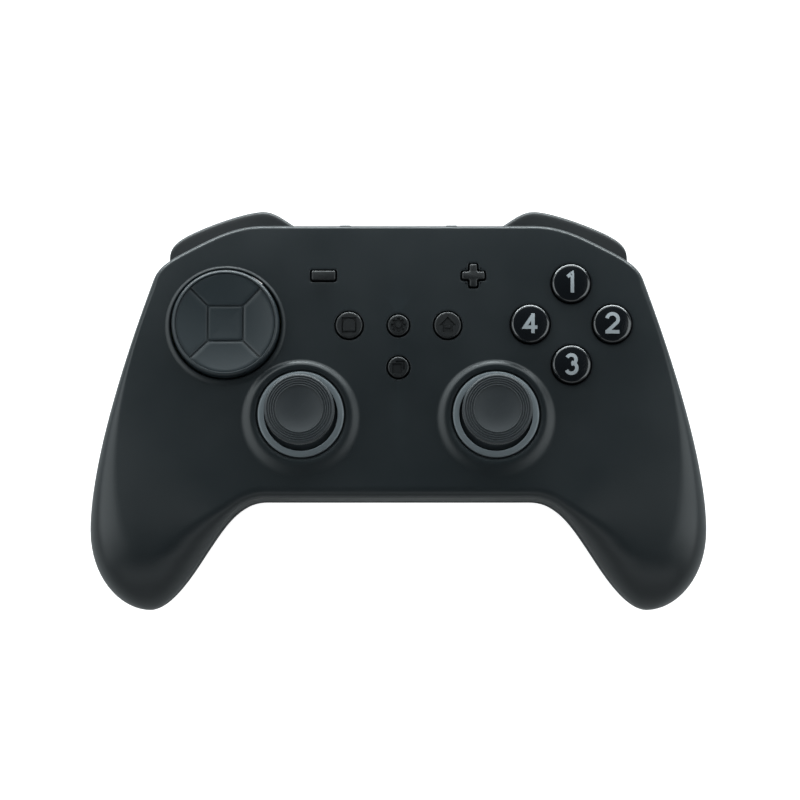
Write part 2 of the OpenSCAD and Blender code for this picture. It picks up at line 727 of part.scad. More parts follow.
// Direction pad
module dpad_post() {
  ear_top_z = dpad_pivot_z + ear_half;
  color("#4a4f52")
    at_dpad()
      difference() {
        union() {
          tube_z(2 * ear_to + 1, board_top_z, dpad_pivot_z - 2.6);
          for (side = sides) on_side(side)
            block([ear_from, -ear_half, dpad_pivot_z - 3], [ear_to, ear_half, ear_top_z]);
        }
        translate([0, 0, dpad_pivot_z]) rod_x(dpad_pin_d + 2 * shaft_gap, -ear_to - 1, ear_to + 1);
      }
}
module dpad_cross() {
  half = [cross_half, cross_half, 1.4];
  color("#c9cbca")
    at_dpad() translate([0, 0, dpad_pivot_z]) {
      block(-half, half);
      rod_x(dpad_pin_d, -ear_to + 0.1, ear_to - 0.1);
      rod_y(dpad_pin_d, -ear_to + 0.1, ear_to - 0.1);
    }
}
module dpad_disc() {
  groove_w = 0.5;
  color("#3d4447")
    at_dpad()
      difference() {
        union() {
          rotate_extrude()
            polygon(concat(
              [[0, dpad_under_z], [dpad_r - 2, dpad_under_z]],
              [[dpad_r - 1.6, dpad_skirt_z], [dpad_r, dpad_skirt_z]],
              [[dpad_top_r, dpad_side_z], [dpad_top_r - 0.3, dpad_rim_z - 0.3], [dpad_top_r - 0.8, dpad_rim_z]],
              [for (k = [0:6]) let (t = k / 6)
                [(dpad_top_r - 1.1) * (1 - t), dpad_rim_z - 0.15 - (dpad_dish - 0.15) * (1 - pow(1 - t, 2))]]
            ));
          for (side = sides)
            block([-ear_half, side * (ear_from + ear_to) / 2 - (ear_to - ear_from) / 2, dpad_pivot_z - 1.4],
                  [ear_half, side * (ear_from + ear_to) / 2 + (ear_to - ear_from) / 2, dpad_under_z + 0.5]);
          for (c = compass)
            translate(c * plunger_ring) tube_z(plunger_d, plunger_low_z, dpad_under_z + 0.5);
        }
        translate([0, 0, dpad_pivot_z]) rod_y(dpad_pin_d + 2 * shaft_gap, -ear_to - 1, ear_to + 1);
        for (q = [0:3]) rotate(45 + 90 * q)
          block([square_half * sqrt(2) + groove_w, -groove_w / 2, dpad_rim_z - dpad_dish * 0.8],
                [dpad_top_r - 1.6, groove_w / 2, dpad_rim_z + 1]);
        block([-square_half, -square_half, dpad_rim_z - dpad_dish - 0.1],
              [square_half, square_half, dpad_rim_z + 1]);
      }
}
module dpad_membrane() {
  color("#9aa0a2")
    at_dpad() {
      difference() {
        tube_z(2 * plunger_ring + 6, board_top_z, board_top_z + membrane_t);
        tube_z(2 * ear_to + 2, board_top_z - 1, board_top_z + 2);
      }
      for (c = compass)
        translate(c * plunger_ring) tube_z(4.4, board_top_z + membrane_t / 2, board_top_z + 1.8);
    }
}

// Face and menu buttons
module face_button(c) {
  r = face_button_d / 2;
  color("#15191d")
    at_faces() translate(c * face_button_pitch)
      rotate_extrude()
        polygon(concat(
          [[0, face_stem_z], [face_stem_d / 2, face_stem_z], [face_stem_d / 2, flange_z]],
          [[face_flange_d / 2, flange_z], [face_flange_d / 2, flange_z + flange_t], [r, flange_z + flange_t]],
          [[r, face_dome_z - 1.5], [r - 0.15, face_dome_z - 1]],
          [for (k = [0:5]) let (a = 15 * (5 - k) / 5)
            [(r - 0.5) * sin(a) / sin(15), face_dome_z - (r - 0.5) * (1 - cos(a)) / sin(15)]]
        ));
}
module face_button_membrane() {
  half = 0.85 * (face_button_pitch + 3.5);
  color("#9aa0a2")
    at_faces() {
      intersection() {
        rotate(45)
          soft_box([-half, -half, board_top_z], [half, half, board_top_z + membrane_t], 3);
        tube_z(2 * face_button_pitch + dome_pad_d + 0.4, board_low_z, dome_pad_z);
      }
      for (c = compass)
        translate(c * face_button_pitch) tube_z(dome_pad_d, board_top_z + membrane_t / 2, dome_pad_z);
    }
}
module round_button(d) {
  tube_z(d, flange_z, menu_top_z);
  tube_z(d + 2 * menu_lip, flange_z, flange_z + flange_t);
  tube_z(menu_stem_d, menu_stem_z, flange_z + flange_t);
}
module system_button(no) {
  color("#23272a") translate(system_places[no]) round_button(system_d);
}
module small_button(no) {
  color("#23272a") translate(small_places[no]) round_button(small_d);
}
module minus_button() {
  color("#1d2222")
    translate(sign_places[0]) {
      minus_form(0, flange_z, menu_top_z);
      minus_form(menu_lip, flange_z, flange_z + flange_t);
      tube_z(menu_stem_d, menu_stem_z, flange_z + flange_t);
    }
}
module plus_button() {
  color("#1d2222")
    translate(sign_places[1]) {
      plus_form(0, flange_z, menu_top_z);
      plus_form(menu_lip, flange_z, flange_z + flange_t);
      tube_z(menu_stem_d, menu_stem_z, flange_z + flange_t);
    }
}
module menu_switches() {
  color("#c7c9c8")
    for (p = concat(system_places, small_places, sign_places))
      translate(p) {
        block([-switch_half, -switch_half, board_top_z], [switch_half, switch_half, switch_top_z - 0.8]);
        tube_z(2.2, board_top_z + 1, switch_top_z);
      }
}

// Board and fasteners
board_tongue = [18.5, top_y - 3.7];
board_line = [
  [board_tongue[0], board_tongue[1]], [board_tongue[0], bay_y - 0.7], [cluster_x + 7, bay_y - 0.7],
  [cluster_x + 15, cluster_y + 6], [cluster_x + 15, cluster_y - 8], [cluster_x + 6, cluster_y - 17],
  [stick_x + 16, stick_y - 10.5]
];
module main_board() {
  color("#1f5a3c")
    difference() {
      translate([0, 0, board_low_z])
        linear_extrude(board_t)
          polygon(concat(
            board_line,
            [for (k = [len(board_line) - 1:-1:0]) [-board_line[k][0], board_line[k][1]]]
          ));
      board_post_places() tube_z(board_screw_d + 2 * screw_gap, board_low_z - 1, board_top_z + 1);
      for (side = sides, p = pegs)
        translate([side * p[0], p[1], 0]) tube_z(peg_d + 2 * screw_gap, board_low_z - 1, board_top_z + 1);
    }
}
module board_screws() {
  color("#c0c4c6")
    board_post_places() {
      tube_z(board_head_d, board_low_z - board_head_h, board_low_z);
      tube_z(board_screw_d, board_low_z - 0.5, board_screw_top_z);
    }
}
module case_screws() {
  color("#3a3d40")
    case_post_places() {
      tube_z(case_head_d, case_seat_z - case_head_h, case_seat_z);
      tube_z(case_screw_d, case_seat_z - 0.5, pilot_top_z - 0.5);
    }
}

// Inner frame with the ears of the trigger pins, the tabs of the bumper pins and pegs into the board
frame_half_w = cluster_x + 12.2;
frame_from_y = 8;
module inner_frame() {
  tab_half = 3.2;
  color("#3c4245")
    difference() {
      union() {
        block([-frame_half_w, frame_from_y, frame_low_z], [frame_half_w, bay_y - 0.4, frame_top_z]);
        for (side = sides) on_side(side) {
          block([bumper_pin[0] - tab_half, bay_y - 2, frame_low_z],
                [bumper_pin[0] + tab_half - 2, bumper_pin[1] + tab_half, frame_top_z]);
          for (e = ear_x) {
            block([e[0], bay_y - 2, frame_low_z], [e[1], trigger_pivot[0], frame_top_z]);
            block([e[0], bay_y - 0.2, frame_low_z], [e[1], trigger_pivot[0], trigger_pivot[1]]);
            translate([0, trigger_pivot[0], trigger_pivot[1]]) rod_x(ear_d, e[0], e[1]);
          }
        }
        for (side = sides, p = pegs)
          translate([side * p[0], p[1], 0]) {
            tube_z(peg_collar_d, frame_top_z - 0.5, board_low_z);
            tube_z(peg_d, frame_top_z, board_top_z - 0.2);
          }
      }
      for (side = sides) on_side(side) {
        translate([0, trigger_pivot[0], trigger_pivot[1]])
          rod_x(trigger_pin_d + 2 * screw_gap, ear_x[0][0] - 1, ear_x[1][1] + 1);
        translate(bumper_pin) tube_z(bumper_pin_d + 2 * screw_gap, frame_low_z - 1, frame_top_z + 1);
      }
    }
}
module trigger_pins() {
  color("#c9ccce")
    for (side = sides) on_side(side)
      translate([0, trigger_pivot[0], trigger_pivot[1]])
        rod_x(trigger_pin_d, ear_x[0][0] - 0.4, ear_x[1][1] + 0.4);
}
module bumper_pins() {
  color("#c9ccce")
    for (side = sides) on_side(side)
      translate(bumper_pin) tube_z(bumper_pin_d, frame_low_z, bumper_top_z - 0.4);
}

// Bumper: a round-nosed slab along its line, with a boss on its pin and a finger for its switch
module bumper(side) {
  middle = (bumper_top_z + bumper_low_z) / 2;
  sections = [for (p = bumper_line) let (
      back = max(p[1] - bumper_deep, bumper_back_y),
      nose = min(bumper_nose, 0.6 * (p[1] - back)))
    concat(
      [[p[0], back, bumper_top_z]],
      [for (k = [0:8]) let (a = 90 - 180 * k / 8, power = 2 / nose_fullness)
        [p[0], p[1] - nose * (1 - pow(cos(a), power)),
         middle + bumper_h / 2 * sign(a) * pow(abs(sin(a)), power)]],
      [[p[0], back, bumper_low_z]]
    )];
  boss_low_z = frame_top_z + free_gap;
  boss_top_z = bumper_top_z - 0.2;
  color("#32383d")
    on_side(side)
      difference() {
        union() {
          loft_solid(sections);
          translate(bumper_pin) tube_z(bumper_boss_d, boss_low_z, boss_top_z);
          translate([0, 0, boss_low_z])
            linear_extrude(boss_top_z - boss_low_z)
              polygon([bumper_pin + [0.5, -2.9], [31, bumper_pin[1] + 3.5], [31, bumper_pin[1] + 8],
                       [27, bumper_pin[1] + 6.6], [bay_x + 1, bumper_pin[1] + 4], bumper_pin + [-0.5, 2.9]]);
          block([finger_x[0], finger_y, middle - 1.5],
                [finger_x[1], bumper_bend[1] - bumper_nose, middle + 1.5]);
        }
        translate(bumper_pin) tube_z(bumper_pin_d + 2 * shaft_gap, boss_low_z - 1, above_all);
      }
}
module bumper_switches() {
  middle = (bumper_top_z + bumper_low_z) / 2;
  gap = 0.3 + ((finger_x[0] + finger_x[1]) / 2 - bumper_pin[0]) * sin(bumper_swing);
  color("#c7c9c8")
    for (side = sides) on_side(side) {
      block([finger_x[0] - 1, bay_y - 4.5, frame_top_z], [finger_x[1] + 1, bay_y - 1.2, board_low_z - 0.3]);
      translate([(finger_x[0] + finger_x[1]) / 2, 0, (frame_top_z + board_low_z) / 2])
        rod_y(1.6, bay_y - 3, finger_y - gap);
    }
}

// Trigger: a hooked face below the bumper, hung on two arms
trigger_line = [for (k = [2:len(bumper_line) - 3]) bumper_line[k]];
module trigger_arm() {
  p = trigger_pivot;
  rotate([90, 0, 90])
    linear_extrude(trigger_arms[0][1] - trigger_arms[0][0])
      polygon([p + [-2.7, -1.1], p + [2.8, 0.6], [trigger_back_y + 1.4, trigger_top_z + 0.3],
               [trigger_back_y + 2.2, trigger_top_z - 4], [trigger_back_y + 0.7, trigger_top_z - 4],
               [trigger_back_y - 0.7, trigger_top_z + 0.4]]);
}
module trigger(side) {
  height = trigger_top_z - trigger_low_z;
  sections = [for (p = trigger_line) let (back = min(trigger_back_y, p[1] - 3))
    [for (t = trigger_profile) [p[0], back + (p[1] - back) * t[0] + t[1], trigger_low_z + height * t[2]]]];
  color("#2b3034")
    on_side(side)
      difference() {
        union() {
          loft_solid(sections);
          for (a = trigger_arms) {
            translate([0, trigger_pivot[0], trigger_pivot[1]]) rod_x(trigger_boss_d, a[0], a[1]);
            translate([a[0], 0, 0]) trigger_arm();
          }
        }
        translate([0, trigger_pivot[0], trigger_pivot[1]])
          rod_x(trigger_pin_d + 2 * shaft_gap, trigger_arms[0][0] - 1, trigger_arms[1][1] + 1);
      }
}
module trigger_sensors() {
  color("#3f6f5a")
    for (side = sides) on_side(side)
      block([spring_from_x, bay_y - 3.4, frame_top_z],
            [trigger_arms[1][0] - 1, bay_y - 0.8, board_low_z - 0.3]);
}

// A close-wound torsion spring between the arms, as one tube
spring_wire = 0.7;
spring_turns = 5;
spring_d = trigger_pin_d + 2 * free_gap + spring_wire;
spring_from_x = trigger_arms[0][1] + 1;
spring_pitch = (trigger_arms[1][0] - trigger_arms[0][1] - 2 - spring_wire) / spring_turns;
spring_sides = 6;
spring_rings = 8;
function spring_ring(k) =
  let (a = 360 * k / spring_rings, x = spring_from_x + spring_wire / 2 + spring_pitch * k / spring_rings)
  [for (j = [0:spring_sides - 1]) let (b = -360 * j / spring_sides, r = (spring_d + spring_wire * cos(b)) / 2)
    [x + spring_wire / 2 * sin(b), trigger_pivot[0] + r * cos(a), trigger_pivot[1] + r * sin(a)]];
module trigger_spring(side) {
  color("#d5d7d8")
    on_side(side)
      loft_solid([for (k = [0:spring_turns * spring_rings]) spring_ring(k)]);
}

// Power, rumble and sockets
battery_size = [52, 22, 8.5];
battery_y = bay_y - wall - 1 - battery_size[1] / 2;
battery_seat = 0.3;
module battery() {
  half = battery_size / 2;
  low_z = wall + battery_seat;
  color("#5b6672")
    translate([0, battery_y, low_z])
      soft_box([-half[0], -half[1], 0], [half[0], half[1], battery_size[2]], 2);
}
module rumble_motor(side) {
  color("#a9adaf")
    on_side(side)
      translate([motor_x, 0, motor_z])
        difference() {
          rod_y(motor_d, motor_from_y, motor_to_y);
          rod_y(motor_shaft_d + 2 * shaft_gap, motor_to_y - 5, motor_to_y + 1);
        }
}
module rumble_weight(side) {
  from_y = motor_to_y + 1;
  to_y = from_y + weight_w;
  color("#8d7f66")
    on_side(side)
      translate([motor_x, 0, motor_z]) {
        rod_y(motor_shaft_d, motor_to_y - 4.5, to_y);
        difference() {
          rod_y(weight_d, from_y, to_y);
          block([-weight_d, from_y - 1, 1], [weight_d, to_y + 1, weight_d]);
        }
      }
}
module usb_port() {
  tongue = [6.65, 0.7];
  color("#b9bdbf")
    translate([0, 0, usb_z]) {
      difference() {
        stadium(usb_size[0], usb_size[1], usb_front_y - usb_long, usb_front_y);
        stadium(usb_size[0] - 2 * usb_t, usb_size[1] - 2 * usb_t, usb_front_y - usb_long + 1, usb_front_y + 1);
      }
      block([-tongue[0] / 2, usb_front_y - usb_long + 0.5, -tongue[1] / 2],
            [tongue[0] / 2, usb_front_y - 1, tongue[1] / 2]);
    }
}
mode_body_front_y = board_tongue[1] - 0.4;
module mode_switch_bodies() {
  color("#4c5154")
    for (side = sides)
      translate([side * mode_x, 0, 0])
        block([-4.2, mode_body_front_y - 3.6, board_top_z], [4.2, mode_body_front_y, board_top_z + 3.4]);
}
module mode_switch(side) {
  half = [mode_nub_w / 2, mode_nub_h / 2];
  color("#202427")
    translate([side * mode_x, 0, mode_z])
      block([-half[0], mode_body_front_y + free_gap, -half[1]], [half[0], top_y + mode_proud, half[1]]);
}

front_shell();
rear_shell();
inner_frame();
main_board();
board_screws();
case_screws();
stick_ring(-1);  // stick_ring_left
stick_ring(1);  // stick_ring_right
stick_housing(-1);  // stick_housing_left
stick_housing(1);  // stick_housing_right
stick_sensors();
stick_yoke(-1);  // stick_yoke_left
stick_yoke(1);  // stick_yoke_right
stick_pivot(-1);  // stick_pivot_left
stick_pivot(1);  // stick_pivot_right
stick_shaft(-1);  // stick_shaft_left
stick_shaft(1);  // stick_shaft_right
stick_cap(-1);  // stick_cap_left
stick_cap(1);  // stick_cap_right
dpad_post();
dpad_cross();
dpad_disc();
dpad_membrane();
face_button(compass[0]);  // face_button_top
face_button(compass[1]);  // face_button_right
face_button(compass[2]);  // face_button_bottom
face_button(compass[3]);  // face_button_left
face_button_membrane();
minus_button();
plus_button();
system_button(0);  // capture_button
system_button(1);  // home_button
small_button(0);  // settings_button
small_button(1);  // square_button
menu_switches();
bumper(-1);  // bumper_left
bumper(1);  // bumper_right
bumper_pins();
bumper_switches();
trigger(-1);  // trigger_left
trigger(1);  // trigger_right
trigger_pins();
trigger_sensors();
trigger_spring(-1);  // trigger_spring_left
trigger_spring(1);  // trigger_spring_right
battery();
rumble_motor(-1);  // rumble_motor_left
rumble_motor(1);  // rumble_motor_right
rumble_weight(-1);  // rumble_weight_left
rumble_weight(1);  // rumble_weight_right
usb_port();
mode_switch_bodies();
mode_switch(-1);  // mode_switch_left
mode_switch(1);  // mode_switch_right
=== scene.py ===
"""Gamepad controller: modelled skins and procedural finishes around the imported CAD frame.

All sizes are written in millimetres, in the frame's own axes: X to the right of the player, Y away
from the player and Z up from the flat back. Meshes are scaled to metres when they are made.
"""

import json
import logging
import math
from dataclasses import dataclass, field
from enum import Enum
from typing import Callable, Iterable, Sequence

import bmesh
import bpy
import numpy as np
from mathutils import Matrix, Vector

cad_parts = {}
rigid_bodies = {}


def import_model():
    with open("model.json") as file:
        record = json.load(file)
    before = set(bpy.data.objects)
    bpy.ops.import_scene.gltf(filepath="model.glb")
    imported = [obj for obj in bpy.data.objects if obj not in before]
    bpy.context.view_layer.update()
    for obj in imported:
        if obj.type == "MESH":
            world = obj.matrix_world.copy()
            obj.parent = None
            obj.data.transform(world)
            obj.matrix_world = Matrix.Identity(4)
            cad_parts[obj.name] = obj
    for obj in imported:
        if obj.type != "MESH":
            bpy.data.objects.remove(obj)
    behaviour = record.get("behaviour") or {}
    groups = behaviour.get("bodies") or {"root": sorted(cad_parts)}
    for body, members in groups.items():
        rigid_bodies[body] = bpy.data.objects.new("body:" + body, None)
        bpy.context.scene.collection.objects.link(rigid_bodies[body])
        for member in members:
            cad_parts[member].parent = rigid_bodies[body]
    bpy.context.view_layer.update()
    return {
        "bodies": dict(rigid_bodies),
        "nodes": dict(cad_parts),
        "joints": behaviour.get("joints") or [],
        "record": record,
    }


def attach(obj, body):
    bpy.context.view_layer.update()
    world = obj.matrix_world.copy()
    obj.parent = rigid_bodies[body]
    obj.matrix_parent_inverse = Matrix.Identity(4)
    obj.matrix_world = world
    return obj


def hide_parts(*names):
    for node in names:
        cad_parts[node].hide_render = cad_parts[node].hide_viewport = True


LOG = logging.getLogger("gamepad")
MM = 0.001
FINE_ROUND = 128
BUTTON_ROUND = 72
PIN_ROUND = 48
POST_ROUND = 32
STEM_ROUND = 24
SOFT_CREASE = 40.0

Point = tuple[float, float]
Mesh = tuple[np.ndarray, list[list[int]]]


class Side(Enum):
    """The two hands of the pad."""

    LEFT = -1
    RIGHT = 1

    @property
    def word(self) -> str:
        """The side's word in the frame's names."""
        return self.name.lower()


class Ends(Enum):
    """How the first and last ring of a skinned form close."""

    CAPPED = "capped"
    LOOPED = "looped"


# Curves and outlines


def cubic_point(points: Sequence[Sequence[float]], t: float) -> np.ndarray:
    """A point of a cubic curve that two inner points pull on.

    Args:
        points: the four control points.
        t: share of the way along, from 0 to 1.

    Returns:
        The point.
    """
    a, b, c, d = (np.asarray(p, float) for p in points)
    s = 1.0 - t
    return s**3 * a + 3 * t * s * s * b + 3 * t * t * s * c + t**3 * d


def pulled(start: Sequence[float], end: Sequence[float], pulls: Sequence[Point], t: float) -> np.ndarray:
    """A point of a curve between two ends.

    Args:
        start: the first end.
        end: the last end.
        pulls: where the handle of each end lies, counted from that end.
        t: share of the way along, from 0 to 1.

    Returns:
        The point.
    """
    a, b = np.asarray(start, float), np.asarray(end, float)
    return cubic_point((a, a + pulls[0], b + pulls[1], b), t)


def ease(t: float) -> float:
    """A smooth step from 0 to 1."""
    c = min(max(t, 0.0), 1.0)
    return c * c * (3 - 2 * c)


def blend(u: float, start: float, length: float) -> float:
    """A smooth step from 0 to 1 over a stretch."""
    return ease((u - start) / length)


def circle(radius: float, count: int = 96, centre: Point = (0.0, 0.0)) -> np.ndarray:
    """A circle's points, anticlockwise.

    Args:
        radius: in millimetres.
        count: number of points.
        centre: where it lies.

    Returns:
        An array of points in the plane.
    """
    turn = np.linspace(0, 2 * math.pi, count, endpoint=False)
    return np.column_stack([centre[0] + radius * np.cos(turn), centre[1] + radius * np.sin(turn)])


def round_corners(corners: Sequence[Point], radius: float, steps: int = 6) -> np.ndarray:
    """A polygon whose corners are arcs.

    Args:
        corners: the sharp outline, anticlockwise.
        radius: of every corner, hollow corners included.
        steps: chords in each arc.

    Returns:
        The rounded outline's points.
    """
    found = []
    pts = [np.asarray(c, float) for c in corners]
    for before, here, after in zip(pts[-1:] + pts[:-1], pts, pts[1:] + pts[:1]):
        way_in = (before - here) / np.linalg.norm(before - here)
        way_out = (after - here) / np.linalg.norm(after - here)
        half = 0.5 * math.acos(float(np.clip(way_in @ way_out, -1, 1)))
        reach = radius / math.tan(half)
        middle = here + (way_in + way_out) / np.linalg.norm(way_in + way_out) * radius / math.sin(half)
        start = here + way_in * reach - middle
        end = here + way_out * reach - middle
        first = math.atan2(start[1], start[0])
        swing = (math.atan2(end[1], end[0]) - first + math.pi) % (2 * math.pi) - math.pi
        for k in range(steps + 1):
            a = first + swing * k / steps
            found.append(middle + radius * np.array([math.cos(a), math.sin(a)]))
    return np.array(found)


def box_outline(width: float, height: float) -> list[Point]:
    """The corners of a rectangle about the origin, anticlockwise."""
    x, y = width / 2, height / 2
    return [(-x, -y), (x, -y), (x, y), (-x, y)]


def plus_outline(long: float, short: float) -> list[Point]:
    """The corners of a plus sign about the origin, anticlockwise.

    Args:
        long: length of each bar.
        short: width of each bar.

    Returns:
        Twelve corners.
    """
    a, b = long / 2, short / 2
    return [
        (-b, -a), (b, -a), (b, -b), (a, -b), (a, b), (b, b),
        (b, a), (-b, a), (-b, b), (-a, b), (-a, -b), (-b, -b),
    ]


def grown(outline: np.ndarray, by: float) -> np.ndarray:
    """An outline moved outward along its own normals.

    Args:
        outline: points, anticlockwise.
        by: distance; a negative one moves inward.

    Returns:
        As many points.
    """
    ahead = np.roll(outline, -1, axis=0) - outline
    ahead /= np.linalg.norm(ahead, axis=1)[:, None]
    normal = np.column_stack([ahead[:, 1], -ahead[:, 0]])
    mitre = normal + np.roll(normal, 1, axis=0)
    share = 2 / np.maximum((mitre * mitre).sum(axis=1), 0.5)
    return outline + by * mitre * share[:, None]


def smooth_line(points: Sequence[Sequence[float]], steps: int) -> np.ndarray:
    """A smooth curve through points.

    Args:
        points: what it passes through, in order.
        steps: stretches between two points.

    Returns:
        The curve's points, from the first to the last.
    """
    pts = np.asarray(points, float)
    held = np.vstack([2 * pts[0] - pts[1], pts, 2 * pts[-1] - pts[-2]])
    found = []
    for k in range(len(pts) - 1):
        a, b, c, d = held[k:k + 4]
        for t in np.linspace(0, 1, steps, endpoint=False):
            found.append(0.5 * (2 * b + (c - a) * t + (2 * a - 5 * b + 4 * c - d) * t**2
                                + (3 * b - a - 3 * c + d) * t**3))
    found.append(pts[-1])
    return np.array(found)


def arc_profile(centre: Point, radius: float, start: float, end: float, steps: int = 6) -> list[Point]:
    """Points along an arc of a profile.

    Args:
        centre: in the profile's plane.
        radius: in millimetres.
        start: first angle in degrees.
        end: last angle in degrees.
        steps: chords.

    Returns:
        The points, both ends included.
    """
    turns = [math.radians(start + (end - start) * k / steps) for k in range(steps + 1)]
    return [(centre[0] + radius * math.cos(a), centre[1] + radius * math.sin(a)) for a in turns]


# Meshes


def skinned(rings: Sequence[np.ndarray], ends: Ends = Ends.CAPPED) -> Mesh:
    """A closed form over rings that share their number of points.

    Args:
        rings: arrays of points in space.
        ends: capped, or the last ring joined to the first.

    Returns:
        Vertices and faces.
    """
    count = len(rings[0])
    total = len(rings)
    spans = total if ends is Ends.LOOPED else total - 1
    faces = []
    for i in range(spans):
        a, b = i * count, (i + 1) % total * count
        for j in range(count):
            k = (j + 1) % count
            faces.append([a + j, a + k, b + k, b + j])
    if ends is Ends.CAPPED:
        faces.append(list(range(count))[::-1])
        faces.append(list(range((total - 1) * count, total * count)))
    return np.vstack(rings), faces


def flat_ring(outline: np.ndarray, z: float, centre: Point = (0.0, 0.0)) -> np.ndarray:
    """An outline lifted to a height and moved to a place."""
    return np.column_stack([outline[:, 0] + centre[0], outline[:, 1] + centre[1], np.full(len(outline), z)])


def lathe(profile: Sequence[Point], centre: Point, ends: Ends = Ends.CAPPED, count: int = 96) -> Mesh:
    """A turned form.

    Args:
        profile: pairs of radius and height.
        centre: where its axis stands.
        ends: capped, or a closed ring.
        count: points round it.

    Returns:
        Vertices and faces.
    """
    return skinned([flat_ring(circle(r, count), z, centre) for r, z in profile], ends)


def moulded(outline: np.ndarray, profile: Sequence[Point], centre: Point, ends: Ends = Ends.CAPPED) -> Mesh:
    """A form with one outline at every height.

    Args:
        outline: in the plane, anticlockwise.
        profile: pairs of outward growth and height.
        centre: where it stands.
        ends: capped, or a closed ring.

    Returns:
        Vertices and faces.
    """
    return skinned([flat_ring(grown(outline, g), z, centre) for g, z in profile], ends)


def block(low: Sequence[float], high: Sequence[float]) -> Mesh:
    """A box between two corners."""
    base = np.array([(low[0], low[1]), (high[0], low[1]), (high[0], high[1]), (low[0], high[1])], float)
    return skinned([flat_ring(base, low[2]), flat_ring(base, high[2])])


def gathered(meshes: Iterable[Mesh]) -> Mesh:
    """Several forms as one mesh.

    Args:
        meshes: forms with their own vertices and faces.

    Returns:
        One mesh that holds them all.
    """
    points, faces, base = [], [], 0
    for verts, polys in meshes:
        points.append(verts)
        faces.extend([[base + i for i in poly] for poly in polys])
        base += len(verts)
    return np.vstack(points), faces


def mirrored(mesh: Mesh, side: Side) -> Mesh:
    """A form of the right side, or its mirror image on the left.

    Args:
        mesh: as made for the right side.
        side: which one is wanted.

    Returns:
        The mesh for that side.
    """
    if side is Side.RIGHT:
        return mesh
    verts, faces = mesh
    return verts * np.array([-1.0, 1.0, 1.0]), [face[::-1] for face in faces]


def linked(name: str, data: bpy.types.ID) -> bpy.types.Object:
    """A new object in the scene.

    Args:
        name: of the object.
        data: its mesh, lamp or camera data.

    Returns:
        The object.
    """
    obj = bpy.data.objects.new(name, data)
    bpy.context.scene.collection.objects.link(obj)
    return obj


def discard(obj: bpy.types.Object) -> None:
    """Removes an object and its mesh.

    Args:
        obj: no longer needed.
    """
    spare = obj.data
    bpy.data.objects.remove(obj)
    bpy.data.meshes.remove(spare)


def new_object(name: str, mesh: Mesh) -> bpy.types.Object:
    """Makes a closed mesh object, in metres.

    Args:
        name: of the object.
        mesh: vertices in millimetres and faces.

    Returns:
        The object, linked to the scene.
    """
    data = bpy.data.meshes.new(name)
    data.from_pydata((mesh[0] * MM).tolist(), [], mesh[1])
    form = bmesh.new()
    form.from_mesh(data)
    bmesh.ops.remove_doubles(form, verts=form.verts, dist=1e-7)
    bmesh.ops.recalc_face_normals(form, faces=form.faces)
    form.to_mesh(data)
    form.free()
    return linked(name, data)


def carve(target: bpy.types.Object, tool: Mesh, operation: str = "DIFFERENCE") -> None:
    """Cuts a form out of an object, or keeps what they share.

    Args:
        target: the object, whose mesh is replaced.
        tool: the cutting form.
        operation: the name of the Boolean operation.
    """
    cutter = new_object("cutter", tool)
    cut = target.modifiers.new("cut", "BOOLEAN")
    cut.operation = operation
    cut.solver = "EXACT"
    cut.object = cutter
    graph = bpy.context.evaluated_depsgraph_get()
    result = bpy.data.meshes.new_from_object(target.evaluated_get(graph))
    target.modifiers.clear()
    old = target.data
    target.data = result
    bpy.data.meshes.remove(old)
    discard(cutter)


def absorb(target: bpy.types.Object, extra: bpy.types.Object) -> None:
    """Joins another object's faces into a target and removes the other.

    Args:
        target: what grows.
        extra: what goes into it.
    """
    form = bmesh.new()
    form.from_mesh(target.data)
    form.from_mesh(extra.data)
    form.to_mesh(target.data)
    form.free()
    discard(extra)


def shade(obj: bpy.types.Object, crease: float = 32.0) -> None:
    """Smooth shading with edges sharper than an angle kept crisp.

    Args:
        obj: the object.
        crease: angle in degrees.
    """
    obj.data.shade_smooth()
    obj.data.set_sharp_from_angle(angle=math.radians(crease))


# Node groups and finishes


def set_constants(node: bpy.types.Node, constants: dict) -> None:
    """Sets values on a node's input sockets, by name or by number."""
    for socket, value in constants.items():
        node.inputs[socket].default_value = value


def add_node(tree: bpy.types.NodeTree, kind: str, constants: dict | None = None,
             operation: str = "") -> bpy.types.Node:
    """Adds a shader node.

    Args:
        tree: where it goes.
        kind: its type, after the prefix that all shader nodes share.
        constants: values of its input sockets.
        operation: of a maths node.

    Returns:
        The node.
    """
    made = tree.nodes.new(f"ShaderNode{kind}")
    if operation:
        made.operation = operation
    set_constants(made, constants or {})
    return made


def float_sockets(tree: bpy.types.NodeTree, way: str, starts: dict[str, float]) -> None:
    """Adds number sockets to a group.

    Args:
        tree: the group.
        way: INPUT or OUTPUT.
        starts: the first value of each socket by its name.
    """
    for name, start in starts.items():
        socket = tree.interface.new_socket(name, in_out=way, socket_type="NodeSocketFloat")
        socket.default_value = start


